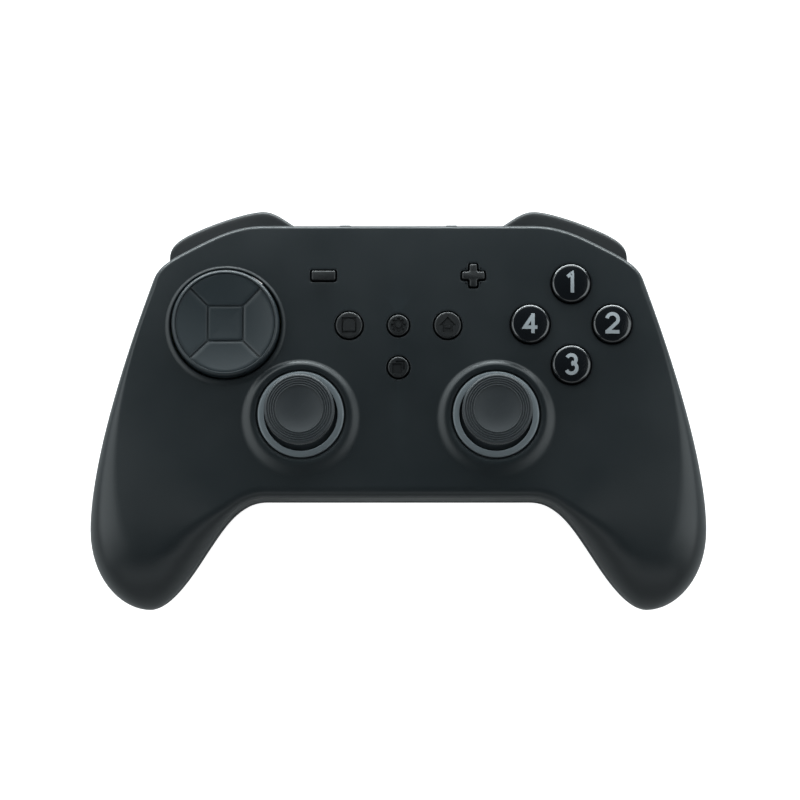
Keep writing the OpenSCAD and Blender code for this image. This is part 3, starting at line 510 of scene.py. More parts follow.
def grain_group() -> bpy.types.ShaderNodeTree:
    """The fine spark-eroded grain of a moulded skin, with the polish of handling.

    Returns:
        A group with inputs Grain Size, Polish Size, Rough Low and Rough High, and outputs Height,
        Roughness and Mask.
    """
    tree = bpy.data.node_groups.new("moulded_grain", "ShaderNodeTree")
    starts = {"Grain Size": 2600.0, "Polish Size": 45.0, "Rough Low": 0.4, "Rough High": 0.5}
    float_sockets(tree, "INPUT", starts)
    float_sockets(tree, "OUTPUT", {"Height": 0.0, "Roughness": 0.0, "Mask": 0.0})
    given = tree.nodes.new("NodeGroupInput")
    result = tree.nodes.new("NodeGroupOutput")
    place = add_node(tree, "TexCoord")
    pits = add_node(tree, "TexVoronoi")
    pits.feature = "SMOOTH_F1"
    cloud = add_node(tree, "TexNoise", {"Detail": 2.0})
    polish = add_node(tree, "TexNoise", {"Detail": 4.0})
    sizes = add_node(tree, "Math", {1: 0.37}, "MULTIPLY")
    height = add_node(tree, "Math", operation="ADD")
    spread = add_node(tree, "MapRange", {"From Min": 0.35, "From Max": 0.65})
    links = tree.links
    for node in (pits, cloud, polish):
        links.new(place.outputs["Object"], node.inputs["Vector"])
    links.new(given.outputs["Grain Size"], pits.inputs["Scale"])
    links.new(given.outputs["Grain Size"], sizes.inputs[0])
    links.new(sizes.outputs[0], cloud.inputs["Scale"])
    links.new(given.outputs["Polish Size"], polish.inputs["Scale"])
    links.new(pits.outputs["Distance"], height.inputs[0])
    links.new(cloud.outputs["Fac"], height.inputs[1])
    links.new(polish.outputs["Fac"], spread.inputs["Value"])
    links.new(given.outputs["Rough Low"], spread.inputs["To Min"])
    links.new(given.outputs["Rough High"], spread.inputs["To Max"])
    links.new(height.outputs[0], result.inputs["Height"])
    links.new(spread.outputs["Result"], result.inputs["Roughness"])
    links.new(polish.outputs["Fac"], result.inputs["Mask"])
    return tree


def rubbed_group() -> bpy.types.ShaderNodeTree:
    """A colour that lifts along convex edges as a painted highlight, and drifts a little over the skin.

    Returns:
        A group with inputs Color, Edge Color, Edge Amount, Drift and Mask, and the output Color.
    """
    tree = bpy.data.node_groups.new("rubbed_colour", "ShaderNodeTree")
    for name in ("Color", "Edge Color"):
        tree.interface.new_socket(name, in_out="INPUT", socket_type="NodeSocketColor")
    float_sockets(tree, "INPUT", {"Edge Amount": 0.2, "Drift": 0.1, "Mask": 0.5})
    tree.interface.new_socket("Color", in_out="OUTPUT", socket_type="NodeSocketColor")
    given = tree.nodes.new("NodeGroupInput")
    result = tree.nodes.new("NodeGroupOutput")
    shape = add_node(tree, "NewGeometry")
    # Pointiness finds the convex edges, where the edge colour is mixed in as a painted highlight.
    edge = add_node(tree, "MapRange", {"From Min": 0.53, "From Max": 0.66})
    amount = add_node(tree, "Math", operation="MULTIPLY")
    lift = add_node(tree, "Mix")
    lift.data_type = "RGBA"
    centred = add_node(tree, "Math", {1: 0.5}, "SUBTRACT")
    drift = add_node(tree, "Math", {2: 1.0}, "MULTIPLY_ADD")
    tone = add_node(tree, "VectorMath", operation="SCALE")
    links = tree.links
    links.new(shape.outputs["Pointiness"], edge.inputs["Value"])
    links.new(edge.outputs["Result"], amount.inputs[0])
    links.new(given.outputs["Edge Amount"], amount.inputs[1])
    links.new(amount.outputs[0], lift.inputs["Factor"])
    links.new(given.outputs["Color"], lift.inputs[6])
    links.new(given.outputs["Edge Color"], lift.inputs[7])
    links.new(given.outputs["Mask"], centred.inputs[0])
    links.new(centred.outputs[0], drift.inputs[0])
    links.new(given.outputs["Drift"], drift.inputs[1])
    links.new(lift.outputs[2], tone.inputs[0])
    links.new(drift.outputs[0], tone.inputs["Scale"])
    links.new(tone.outputs["Vector"], result.inputs["Color"])
    return tree


def linear(tone: str) -> tuple[float, float, float, float]:
    """A hexadecimal display colour as linear light.

    Args:
        tone: six hexadecimal digits after a hash.

    Returns:
        Red, green, blue and a full alpha.
    """
    parts = [int(tone[k:k + 2], 16) / 255 for k in (1, 3, 5)]
    red, green, blue = (p / 12.92 if p <= 0.04045 else ((p + 0.055) / 1.055) ** 2.4 for p in parts)
    return red, green, blue, 1.0


@dataclass(frozen=True)
class Finish:
    """One finish of the pad: its colour, gloss and grain."""

    name: str
    tone: str
    # The edge tone and edge amount set the painted highlight along convex edges.
    edge_tone: str
    rough: tuple[float, float]
    metallic: float = 0.0
    coat: float = 0.0
    coat_rough: float = 0.06
    sheen: float = 0.0
    sheen_rough: float = 0.45
    grain_size: float = 2600.0
    grain_depth: float = 0.0
    polish_size: float = 45.0
    edge_amount: float = 0.2
    drift: float = 0.15

    def material(self, groups: dict[str, bpy.types.ShaderNodeTree]) -> bpy.types.Material:
        """Builds the material.

        Args:
            groups: the shared node groups by name.

        Returns:
            A new material.
        """
        made = bpy.data.materials.new(self.name)
        made.use_nodes = True
        tree = made.node_tree
        skin = tree.nodes["Principled BSDF"]
        set_constants(skin, {
            "Metallic": self.metallic, "Coat Weight": self.coat, "Coat Roughness": self.coat_rough,
            "Sheen Weight": self.sheen, "Sheen Roughness": self.sheen_rough,
        })
        grain = add_node(tree, "Group")
        grain.node_tree = groups["grain"]
        set_constants(grain, {
            "Grain Size": self.grain_size, "Polish Size": self.polish_size,
            "Rough Low": self.rough[0], "Rough High": self.rough[1],
        })
        # The painted edge highlight and the random colour drift go into the base colour.
        colour = add_node(tree, "Group")
        colour.node_tree = groups["edge_highlight"]
        set_constants(colour, {
            "Color": linear(self.tone), "Edge Color": linear(self.edge_tone),
            "Edge Amount": self.edge_amount, "Drift": self.drift,
        })
        links = tree.links
        links.new(grain.outputs["Mask"], colour.inputs["Mask"])
        links.new(colour.outputs["Color"], skin.inputs["Base Color"])
        links.new(grain.outputs["Roughness"], skin.inputs["Roughness"])
        if self.grain_depth:
            bump = add_node(tree, "Bump", {"Distance": self.grain_depth * MM, "Strength": 1.0})
            links.new(grain.outputs["Height"], bump.inputs["Height"])
            links.new(bump.outputs["Normal"], skin.inputs["Normal"])
        return made


# Each edge tone is a painted highlight along convex edges, lighter than its tone; on the board laminate it
# gives the edges a tan colour.
FINISHES = {finish.name: finish for finish in (
    Finish("front_plastic", "#151b1e", "#252d31", (0.33, 0.38), grain_depth=0.004),
    Finish("rear_plastic", "#1c2225", "#2a3236", (0.48, 0.56), grain_depth=0.012, grain_size=1700.0),
    Finish("stick_rubber", "#1a2024", "#384045", (0.5, 0.58), sheen=0.08, grain_depth=0.006),
    Finish("ring_metal", "#686f73", "#8f9599", (0.34, 0.4),
           metallic=0.25, polish_size=120.0, drift=0.06),
    Finish("dpad_plastic", "#1c2428", "#3a4247", (0.38, 0.43), grain_depth=0.004),
    Finish("button_gloss", "#0d1013", "#15191c", (0.12, 0.16), coat=1.0, drift=0.05),
    Finish("menu_plastic", "#0a0d0f", "#171c1e", (0.36, 0.42), grain_depth=0.003),
    Finish("bumper_plastic", "#0a0f12", "#232a2e", (0.42, 0.48), grain_depth=0.004),
    Finish("trigger_plastic", "#262b2f", "#3b4246", (0.38, 0.44), grain_depth=0.006),
    Finish("board_laminate", "#1d4c35", "#a48a4c", (0.35, 0.45), edge_amount=0.3),
    Finish("frame_plastic", "#33393c", "#464d50", (0.5, 0.6), grain_depth=0.01),
    Finish("steel", "#b4b8ba", "#d2d5d6", (0.25, 0.35), metallic=1.0, drift=0.08),
    Finish("silicone", "#8d9395", "#a3a8aa", (0.55, 0.65), sheen=0.1),
    Finish("cell_wrap", "#4c5764", "#66717d", (0.28, 0.36), coat=0.3),
    Finish("weight_metal", "#8a7c62", "#a99a7d", (0.35, 0.45), metallic=1.0),
    Finish("numeral_ink", "#868c90", "#969b9e", (0.45, 0.52), edge_amount=0.0, drift=0.08),
)}


@dataclass
class Workshop:
    """Makes the pieces: it holds the frame, its bodies and the finished materials."""

    frame: dict
    materials: dict[str, bpy.types.Material] = field(default_factory=dict)
    body_of: dict[str, str] = field(default_factory=dict)

    def __post_init__(self) -> None:
        """Builds the shared groups, every material and the list of bodies."""
        groups = {"grain": grain_group(), "edge_highlight": rubbed_group()}
        self.materials = {name: finish.material(groups) for name, finish in FINISHES.items()}
        for body, nodes in self.frame["record"]["behaviour"]["bodies"].items():
            for node in nodes:
                self.body_of[node] = body

    def fit(self, obj: bpy.types.Object, node: str, slot: str, stands_in: bool = True,
            ink: str | None = None) -> None:
        """Dresses a finished object and rides it on the body of a node.

        Args:
            obj: the piece.
            node: the frame's node that it belongs to.
            slot: material slot of the record.
            stands_in: whether it replaces the node.
            ink: another finish that covers the slot's own.
        """
        obj.data.materials.clear()
        obj.data.materials.append(self.materials[ink or slot])
        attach(obj, self.body_of[node])
        if stands_in:
            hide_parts(node)
        LOG.info("piece %s on %s, %d vertices", obj.name, self.body_of[node], len(obj.data.vertices))


def foot_share(dents: np.ndarray, lift: np.ndarray, upright: float) -> np.ndarray:
    """How much of a wall's lean each point of a rounded edge takes.

    Args:
        dents: share of the rounding's width from the wall inward.
        lift: share of the height.
        upright: share of the height that is wall.

    Returns:
        It grows from 0 to 1 up the wall and falls to 0 across the rounding.
    """
    return np.where(lift <= upright, lift / max(upright, 1e-6), 1 - dents)


@dataclass(frozen=True)
class HousingForm:
    """The loft of the two shells: outlines, heights and edge roundings, as the frame has them."""

    half_w: float = 78.0
    top_y: float = 45.2
    bottom_y: float = -24.8
    tip: Point = (63.0, -52.0)
    grip_side_y: float = -32.0
    shoulder: Point = (62.1, 31.5)
    bevel: Point = (54.1, 38.5)
    flat_top_x: float = 34.0
    crotch_x: float = 33.0
    neck: Point = (48.0, -36.6)
    crotch_share: tuple[float, ...] = (0.0, 0.7, 0.85, 1.0)
    outer_pulls: tuple[tuple[Point, Point], ...] = (
        ((7.5, 0.0), (0.0, -12.0)), ((0.0, 14.0), (10.2, -27.5)),
        ((-1.0, 2.8), (4.5, -2.4)), ((-7.2, 3.7), (7.5, 0.0)),
    )
    tip_pulls: tuple[Point, Point] = ((-5.5, 0.0), (4.0, -5.9))
    crotch_pulls: tuple[Point, Point] = ((-4.5, 6.6), (7.0, 0.0))
    outline_end: float = 5.0
    face_z: float = 40.0
    parting_z: float = 27.0
    parting_drop: float = 4.0
    face_round: float = 2.4
    face_bend: float = 1.3
    inner_extra: float = 0.6
    grip_rounds: Point = (14.0, 11.0)
    grip_share: float = 0.92
    front_fullness: float = 2.4
    back_outer: Point = (13.0, 10.0)
    back_inner: Point = (12.0, 32.0)
    back_fullness: float = 2.3
    wall_lean: float = 0.125
    grip_drop: float = 7.0
    back_z: float = -0.6
    belly_rise: float = 5.0
    valley_z: float = 3.6
    tip_round: float = 15.0
    wall: float = 2.2
    wall_thinning: float = 0.6
    least_sine: float = 0.35
    widest_round: float = 0.47
    seam_gap: float = 0.2
    edge_break: float = 0.25
    steps: tuple[int, ...] = (24, 24, 10, 16, 8)
    edge_steps: int = 16
    middle_steps: int = 4
    tip_crowding: float = 1.6
    case_screws: tuple[Point, Point] = ((57.0, -30.0), (59.0, 2.0))
    case_bore_r: float = 1.35

    def outer_edge(self, u: float) -> np.ndarray:
        """A point of the outer outline, from the grip's tip at 0 to the middle of the top at 5.

        Args:
            u: place along the outline, from 0 at the tip to 5 at the middle.

        Returns:
            A point in the plane of the face.
        """
        corners = (
            self.tip, (self.half_w, self.grip_side_y), self.shoulder, self.bevel,
            (self.flat_top_x, self.top_y), (0.0, self.top_y),
        )
        part = min(int(u), len(self.outer_pulls))
        if part == len(self.outer_pulls):
            return np.array(corners[part]) * (1 - u + part) + np.array(corners[part + 1]) * (u - part)
        return pulled(corners[part], corners[part + 1], self.outer_pulls[part], u - part)

    def inner_edge(self, u: float) -> np.ndarray:
        """A point of the inner outline, from the grip's tip at 0 to the middle of the bottom at 5.

        Args:
            u: place along the outline, from 0 at the tip to 5 at the middle.

        Returns:
            A point in the plane of the face.
        """
        corner, middle = np.array([self.crotch_x, self.bottom_y]), np.array([0.0, self.bottom_y])
        last = len(self.crotch_share)
        part = min(int(u), last)
        t = u - part
        if part == 0:
            return pulled(self.tip, self.neck, self.tip_pulls, t)
        if part == last:
            return corner * (1 - t) + middle * t
        low, high = self.crotch_share[part - 1:part + 1]
        return pulled(self.neck, corner, self.crotch_pulls, low + (high - low) * t)

    def tangent(self, edge: Callable[[float], np.ndarray], u: float) -> np.ndarray:
        """The direction of an outline, from the chord over a short stretch on both sides.

        Args:
            edge: gives a point of the outline for a place on it.
            u: place along the outline.

        Returns:
            A direction of length 1.
        """
        step = 0.02
        chord = edge(min(u + step, self.outline_end)) - edge(max(u - step, 0.0))
        return chord / np.linalg.norm(chord)

    def seam_z(self, u: float) -> float:
        """Height of the parting line, which falls along the grips."""
        return self.parting_z - self.parting_drop * (1 - blend(u, 0, 1.5))

    def shell_seam_z(self, u: float, front: bool) -> float:
        """Height of a shell's own edge at the parting line."""
        return self.seam_z(u) + (self.seam_gap / 2 if front else -self.seam_gap / 2)

    def front_form(self, u: float) -> tuple[float, ...]:
        """Crown height, outer and inner rounding, fullness and rounded share of the front shell.

        Args:
            u: place along the outline, from 0 at the tip to 5 at the middle.

        Returns:
            The five values in that order.
        """
        body = blend(u, 0.5, 1.4)
        crown = self.face_z - self.grip_drop * (1 - blend(u, 0, 1.7))
        grip_outer, grip_inner = self.grip_rounds
        outer = grip_outer + (self.face_round - grip_outer) * body
        inner = grip_inner + (self.face_round + self.inner_extra - grip_inner) * body
        face_share = self.face_bend * self.face_round / (self.face_z - self.parting_z)
        bent = self.grip_share + (face_share - self.grip_share) * body
        return crown, outer, inner, self.front_fullness, bent

    def back_form(self, u: float) -> tuple[float, ...]:
        """Crown height, outer and inner rounding, fullness and rounded share of the rear shell.

        Args:
            u: place along the outline, from 0 at the tip to 5 at the middle.

        Returns:
            The five values in that order.
        """
        body, hump, belly = blend(u, 1, 1.2), blend(u, 2.6, 1.9), blend(u, 0, 0.9)
        valley = (self.valley_z - self.back_z) * body * (1 - hump)
        crown = self.back_z + self.belly_rise * (1 - belly) + valley
        grip_outer, body_outer = self.back_outer
        grip_inner, body_inner = self.back_inner
        outer = grip_outer + (body_outer - grip_outer) * blend(u, 2, 1.5)
        inner = grip_inner + (body_inner - grip_inner) * blend(u, 1.4, 2.6)
        return crown, outer, inner, self.back_fullness, self.grip_share

    def tip_share(self, u: float) -> float:
        """Share of the full height near the tip of a grip, where the end is rounded too.

        Args:
            u: place along the outline, from 0 at the tip to 5 at the middle.

        Returns:
            A share from 0 to 1.
        """
        middle = (self.outer_edge(u) + self.inner_edge(u)) / 2
        s = min(float(np.linalg.norm(middle - np.array(self.tip))) / self.tip_round, 1.0)
        return math.sqrt(1 - (1 - s) ** 2)

    def station(self, u: float, front: bool, inset: float) -> np.ndarray:
        """One row of a skin, from the outer edge across to the inner edge.

        Args:
            u: place along the outlines.
            front: front or rear shell.
            inset: distance inside the outer skin.

        Returns:
            Points in space.
        """
        crown, round_a, round_b, full, bent = self.front_form(u) if front else self.back_form(u)
        crown += -inset if front else inset
        seam = self.shell_seam_z(u, front)
        tan_a, tan_b = self.tangent(self.outer_edge, u), self.tangent(self.inner_edge, u)
        a = self.outer_edge(u) + np.array([-tan_a[1], tan_a[0]]) * inset
        b = self.inner_edge(u) + np.array([tan_b[1], -tan_b[0]]) * inset
        span = float(np.linalg.norm(b - a))
        way = (b - a) / span
        thin = inset * self.wall_thinning
        reach = []
        for rounding, tan in ((round_a, tan_a), (round_b, tan_b)):
            sine = max(abs(way[0] * tan[1] - way[1] * tan[0]), self.least_sine)
            reach.append(min((rounding - thin) / sine, self.widest_round * span))
        rise = (crown - seam) * self.tip_share(u)
        turn = np.linspace(0, math.pi / 2, self.edge_steps + 1)
        foot = np.cos(turn).clip(0) ** (2 / full)
        lift = np.sin(turn).clip(0) ** (2 / full)
        foot[-1] = 0.0
        broken = 0.0 if inset else self.edge_break
        first_lift = min(broken / max(abs(rise), 0.01), 0.5 * (1 - bent))
        lift = np.concatenate([[0.0, first_lift], 1 - bent + bent * lift])
        dents = np.concatenate([[broken / max(reach[0], 1.0), 0.0], 1 - foot])
        lean = self.wall_lean * rise * (1 - bent) / reach[0] if front and not inset else 0.0
        leaning = dents + lean * foot_share(dents, lift, 1 - bent)
        share = np.linspace(0, 1, self.middle_steps + 1)[1:-1, None]
        first = a + way * (reach[0] * leaning)[:, None]
        last = b - way * (reach[1] * dents[::-1])[:, None]
        middle = first[-1] + (last[0] - first[-1]) * share
        flat = np.vstack([first, middle, last])
        heights = seam + rise * np.concatenate([lift, np.ones(len(share)), lift[::-1]])
        if not front:
            heights = np.maximum(heights, inset)
        return np.column_stack([flat, heights])

    def rows(self, front: bool, inset: float) -> np.ndarray:
        """All rows of a skin, from the left tip to the right tip.

        Args:
            front: front or rear shell.
            inset: distance inside the outer skin.

        Returns:
            An array of rows, columns and coordinates.
        """
        places = []
        for part, count in enumerate(self.steps):
            for k in range(count):
                share = k / count
                places.append(part + (share**self.tip_crowding if part == 0 else share))
        right = [self.station(u, front, inset) for u in places[1:]]
        end = np.tile([self.tip[0], self.tip[1] + inset, self.shell_seam_z(0, front)], (len(right[0]), 1))
        half = [end] + right
        flip = np.array([-1.0, 1.0, 1.0])
        middle = self.station(self.outline_end, front, inset)
        return np.array([row * flip for row in half] + [middle] + half[::-1])

    def solid(self, front: bool, filled: bool = False) -> Mesh:
        """A moulded half as a closed form.

        Args:
            front: front or rear shell.
            filled: filled up to its parting face instead of hollow.

        Returns:
            Vertices and faces.
        """
        skins = [self.rows(front, 0.0)]
        if not filled:
            skins.append(self.rows(front, self.wall))
        count, across = skins[0].shape[:2]
        total = count * across
        faces = []
        for base in range(len(skins)):
            for i in range(count - 1):
                for j in range(across - 1):
                    p = base * total + i * across + j
                    quad = [p, p + across, p + across + 1, p + 1]
                    faces.append(quad[::-1] if base else quad)
        for i in range(count - 1):
            p = i * across
            q = p + across
            if filled:
                faces.append([p, p + across - 1, q + across - 1, q])
            else:
                faces.append([p, total + p, total + q, q])
                far_p, far_q = p + across - 1, q + across - 1
                faces.append([far_p, far_q, total + far_q, total + far_p])
        return np.vstack([skin.reshape(-1, 3) for skin in skins]), faces


@dataclass(frozen=True)
class FacePlan:
    """Where everything sits on the face, and the holes that it sits in."""

    face_z: float = 40.0
    ceiling_z: float = 37.8
    sticks: tuple[Point, Point] = ((-24.4, -4.0), (24.4, -4.0))
    dpad: Point = (-43.3, 18.7)
    faces: Point = (43.3, 18.7)
    face_pitch: float = 10.25
    face_hole_r: float = 5.1
    system: tuple[Point, Point] = ((-12.35, 18.4), (12.35, 18.4))
    system_hole_r: float = 3.65
    small: tuple[Point, Point] = ((0.0, 18.4), (0.0, 7.8))
    small_hole_r: float = 2.95
    minus: Point = (-18.8, 31.0)
    plus: Point = (18.8, 31.0)
    minus_size: Point = (6.0, 2.4)
    plus_size: Point = (5.7, 1.9)
    sign_corner: float = 0.45
    button_gap: float = 0.3

    def face_places(self) -> dict[str, Point]:
        """The four face buttons' places by their names in the frame."""
        x, y, d = *self.faces, self.face_pitch
        return {"top": (x, y + d), "right": (x + d, y), "bottom": (x, y - d), "left": (x - d, y)}

    def round_holes(self) -> list[tuple[Point, float]]:
        """Centre and radius of every round button hole.

        Returns:
            Pairs of centre and radius.
        """
        holes = [(place, self.face_hole_r) for place in self.face_places().values()]
        holes += [(place, self.system_hole_r) for place in self.system]
        return holes + [(place, self.small_hole_r) for place in self.small]

    def sign_outlines(self, grow: float, rounder: float = 0.0) -> list[tuple[Point, np.ndarray]]:
        """Places and rounded outlines of the minus and the plus.

        Args:
            grow: how far the outline stands outside the sign.
            rounder: how much larger its corners' radius is than the sign's own.

        Returns:
            Pairs of place and outline.
        """
        radius = self.sign_corner + rounder
        bar = box_outline(self.minus_size[0] + 2 * grow, self.minus_size[1] + 2 * grow)
        cross = plus_outline(self.plus_size[0] + 2 * grow, self.plus_size[1] + 2 * grow)
        return [(self.minus, round_corners(bar, radius)), (self.plus, round_corners(cross, radius))]


@dataclass
class FrontShell:
    """The face of the pad with its collars, its pedestal and the lips of its holes."""

    form: HousingForm
    plan: FacePlan
    ring_seat_r: float = 10.85
    sleeve_r: float = 10.25
    groove_r: float = 11.25
    crest_r: float = 12.35
    collar_foot_r: float = 15.1
    collar_fall: float = 1.2
    collar_h: float = 0.68
    seat_deep: float = 1.0
    groove_wall: tuple[Point, ...] = (
        (-0.1, -0.6), (0.0, -0.5), (0.0, 0.1), (0.07, 0.27), (0.25, 0.38), (0.5, 0.54),
    )
    crest_inside: Point = (-0.3, -0.04)
    dpad_hole_r: float = 13.92
    pedestal_crest_r: float = 14.2
    pedestal_foot_r: float = 15.3
    pedestal_fall: float = 0.5
    pedestal_h: float = 0.24
    pedestal_edge: tuple[Point, ...] = ((0.0, -0.4), (0.05, -0.2), (0.17, -0.06))
    lip_r: float = 0.32
    lip_w: float = 0.8
    flush: float = 0.003
    swell_steps: int = 15
    foot_lift: float = 0.4
    cut_past: float = 3.0
    collar_bite: float = 0.3
    pedestal_bite: float = 0.6
    board_screws: tuple[Point, Point] = ((8.5, -8.5), (27.5, 28.5))
    board_post_r: float = 2.5
    board_bore_r: float = 1.05
    board_post_z: float = 22.4
    case_post_r: float = 3.0
    case_post_z: float = 27.5
    grip_ceiling_z: float = 33.5
    post_overlap: float = 0.6

    def swell(self, centre: Point, inner: Sequence[Point], crest: Point, foot_r: float, fall: float) -> Mesh:
        """A raised ring whose foot circle lies a little lower on the face than its bore.

        Args:
            centre: of the bore.
            inner: radius and height of the rings inside the crest, from the underside up.
            crest: radius and height of the crest.
            foot_r: radius of the foot circle.
            fall: how far the foot circle lies towards the player.

        Returns:
            A closed ring.
        """
        around = circle(1.0, FINE_ROUND)
        way = -fall * around[:, 1]
        foot = way + np.sqrt(foot_r**2 - fall**2 + way**2)
        base = self.plan.face_z + self.flush
        rings = [flat_ring(around * r, z, centre) for r, z in inner[1:]]
        for t in np.linspace(0, 1, self.swell_steps):
            reach = crest[0] + (foot - crest[0]) * t
            z = base + (crest[1] - base) * (0.5 + 0.5 * math.cos(math.pi * t))
            rings.append(flat_ring(around * reach[:, None], z, centre))
        rings.append(flat_ring(around * foot[:, None], self.plan.ceiling_z + self.foot_lift, centre))
        rings.append(flat_ring(around * inner[0][0], inner[0][1], centre))
        return skinned(rings, Ends.LOOPED)

    def collar(self, centre: Point) -> Mesh:
        """The raised collar round a stick, with the groove and the seat of its ring.

        Args:
            centre: of the stick.

        Returns:
            A closed ring.
        """
        z = self.plan.face_z
        crest = (self.crest_r, z + self.collar_h)
        out, up = self.crest_inside
        groove = [(self.groove_r + r, z + h) for r, h in self.groove_wall]
        seat_z, groove_z = z - self.seat_deep, groove[0][1]
        inner = [
            (self.sleeve_r, self.plan.ceiling_z), (self.sleeve_r, seat_z), (self.ring_seat_r, seat_z),
            (self.ring_seat_r, groove_z), *groove, (crest[0] + out, crest[1] + up),
        ]
        return self.swell(centre, inner, crest, self.collar_foot_r, self.collar_fall)

    def pedestal(self) -> Mesh:
        """The soft swelling round the direction pad.

        Returns:
            A closed ring.
        """
        z = self.plan.face_z + self.pedestal_h
        r = self.dpad_hole_r
        inner = [(r, self.plan.ceiling_z), *((r + out, z + up) for out, up in self.pedestal_edge)]
        crest = (self.pedestal_crest_r, z)
        return self.swell(self.plan.dpad, inner, crest, self.pedestal_foot_r, self.pedestal_fall)

    def lip(self) -> list[Point]:
        """Profile of a rounded hole edge: growth past the hole and height.

        Returns:
            Points from the underside over the edge and back down.
        """
        top = self.plan.face_z + self.flush
        bend = arc_profile((self.lip_r, top - self.lip_r), self.lip_r, 180, 90)
        return [(0.0, self.plan.ceiling_z), *bend, (self.lip_w, top), (self.lip_w, self.plan.ceiling_z)]

    def lips(self) -> list[Mesh]:
        """The rounded edges of every button hole.

        Returns:
            A closed ring for each hole.
        """
        made = []
        for place, r in self.plan.round_holes():
            made.append(lathe([(r + g, z) for g, z in self.lip()], place, Ends.LOOPED, BUTTON_ROUND))
        for place, outline in self.plan.sign_outlines(self.plan.button_gap):
            made.append(moulded(outline, self.lip(), place, Ends.LOOPED))
        return made

    def openings(self) -> Mesh:
        """What is cut out of the lofted shell to make room for collars, pedestal and lips.

        Returns:
            Closed forms in one mesh.
        """
        low, high = self.plan.ceiling_z - self.cut_past, self.plan.face_z + self.cut_past
        half_lip = self.lip_w / 2
        holes = [(place, self.crest_r - self.collar_bite) for place in self.plan.sticks]
        holes.append((self.plan.dpad, self.pedestal_crest_r + self.pedestal_bite))
        holes += [(place, r + half_lip) for place, r in self.plan.round_holes()]
        cuts = [lathe([(r, low), (r, high)], place) for place, r in holes]
        for place, outline in self.plan.sign_outlines(self.plan.button_gap + half_lip, half_lip):
            cuts.append(moulded(outline, [(0, low), (0, high)], place))
        return gathered(cuts)

    def posts(self) -> list[Mesh]:
        """The screw posts under the face.

        Returns:
            A closed tube for each post.
        """
        made = []
        kinds = (
            (self.board_screws, self.board_post_r, self.board_bore_r, self.board_post_z),
            (self.form.case_screws, self.case_post_r, self.form.case_bore_r, self.case_post_z),
        )
        for places, outer, bore, low in kinds:
            for x, y in places:
                in_grip = y < self.form.bottom_y
                high = self.grip_ceiling_z if in_grip else self.plan.ceiling_z + self.post_overlap
                ring = [(bore, low), (outer, low), (outer, high), (bore, high)]
                made += [lathe(ring, (side.value * x, y), Ends.LOOPED, POST_ROUND) for side in Side]
        return made

    def build(self, shop: Workshop) -> None:
        """Builds and dresses the shell.

        Args:
            shop: dresses each piece and rides it on its body.
        """
        shell = new_object("front_shell_skin", self.form.solid(True))
        carve(shell, self.openings())
        trim = [self.collar(place) for place in self.plan.sticks] + [self.pedestal()]
        absorb(shell, new_object("trim", gathered(trim + self.lips() + self.posts())))
        shade(shell)
        shop.fit(shell, "front_shell", "front_plastic")


@dataclass
class RearShell:
    """The back of the pad with the trigger bays, the sockets and the screw recesses."""

    form: HousingForm
    bay: Point = (23.9, 32.2)
    bay_low_z: float = -2.0
    bulkhead_span: Point = (-1.0, 15.9)
    recess_r: float = 3.0
    recess_low_z: float = -3.0
    seat_z: float = 18.0
    post_r: float = 4.2
    post_span: Point = (0.9, 27.3)
    socket_z: float = 24.03
    socket_size: Point = (9.94, 4.26)
    mode_x: float = 13.6
    mode_z: float = 24.1
    mode_slot: Point = (5.6, 2.6)
    socket_flat: float = 0.05
    cut_deep: float = 6.0
    cut_past: float = 2.0
    clear: float = 20.0

    def cuts(self) -> Mesh:
        """The bays, sockets and recesses.

        Returns:
            Closed forms in one mesh.
        """
        y0, y1 = self.form.top_y - self.cut_deep, self.form.top_y + self.cut_past
        slot = round_corners(box_outline(*self.socket_size), self.socket_size[1] / 2 - self.socket_flat, 10)
        slot_ends = [
            np.column_stack([slot[:, 0], np.full(len(slot), y), slot[:, 1] + self.socket_z]) for y in (y0, y1)
        ]
        made = [skinned(slot_ends)]
        w, h = self.mode_slot[0] / 2, self.mode_slot[1] / 2
        far = np.array([self.form.half_w, self.form.top_y, self.form.face_z]) + self.clear
        recess = [(self.recess_r, self.recess_low_z), (self.recess_r, self.seat_z)]
        for side in Side:
            made.append(mirrored(block((*self.bay, self.bay_low_z), far), side))
            x = side.value * self.mode_x
            made.append(block((x - w, y0, self.mode_z - h), (x + w, y1, self.mode_z + h)))
            for px, py in self.form.case_screws:
                made.append(lathe(recess, (side.value * px, py), count=PIN_ROUND))
        return gathered(made)

    def inner_walls(self) -> Mesh:
        """The walls round the trigger bays, still untrimmed.

        Returns:
            Closed forms in one mesh.
        """
        x, y = self.bay
        t, far_x, far_y = self.form.wall, self.form.half_w, self.form.top_y + self.cut_past
        plan = np.array([(x - t, y - t), (far_x, y - t), (far_x, y), (x, y), (x, far_y), (x - t, far_y)])
        wall = skinned([flat_ring(plan, z) for z in self.bulkhead_span])
        return gathered(mirrored(wall, side) for side in Side)

    def posts(self) -> Mesh:
        """The screw posts, open at the back.

        Returns:
            Closed tubes in one mesh.
        """
        low, top = self.post_span
        bore = self.form.case_bore_r
        ring = [(self.recess_r, low), (self.post_r, low), (self.post_r, top), (bore, top),
                (bore, self.seat_z), (self.recess_r, self.seat_z)]
        made = []
        for side in Side:
            for px, py in self.form.case_screws:
                made.append(lathe(ring, (side.value * px, py), Ends.LOOPED, PIN_ROUND))
        return gathered(made)

    def build(self, shop: Workshop) -> None:
        """Builds and dresses the shell.

        Args:
            shop: dresses each piece and rides it on its body.
        """
        shell = new_object("rear_shell_skin", self.form.solid(False))
        carve(shell, self.cuts())
        walls = new_object("walls", self.form.solid(False, filled=True))
        carve(walls, self.inner_walls(), "INTERSECT")
        absorb(shell, walls)
        absorb(shell, new_object("posts", self.posts()))
        shade(shell)
        shop.fit(shell, "rear_shell", "rear_plastic")


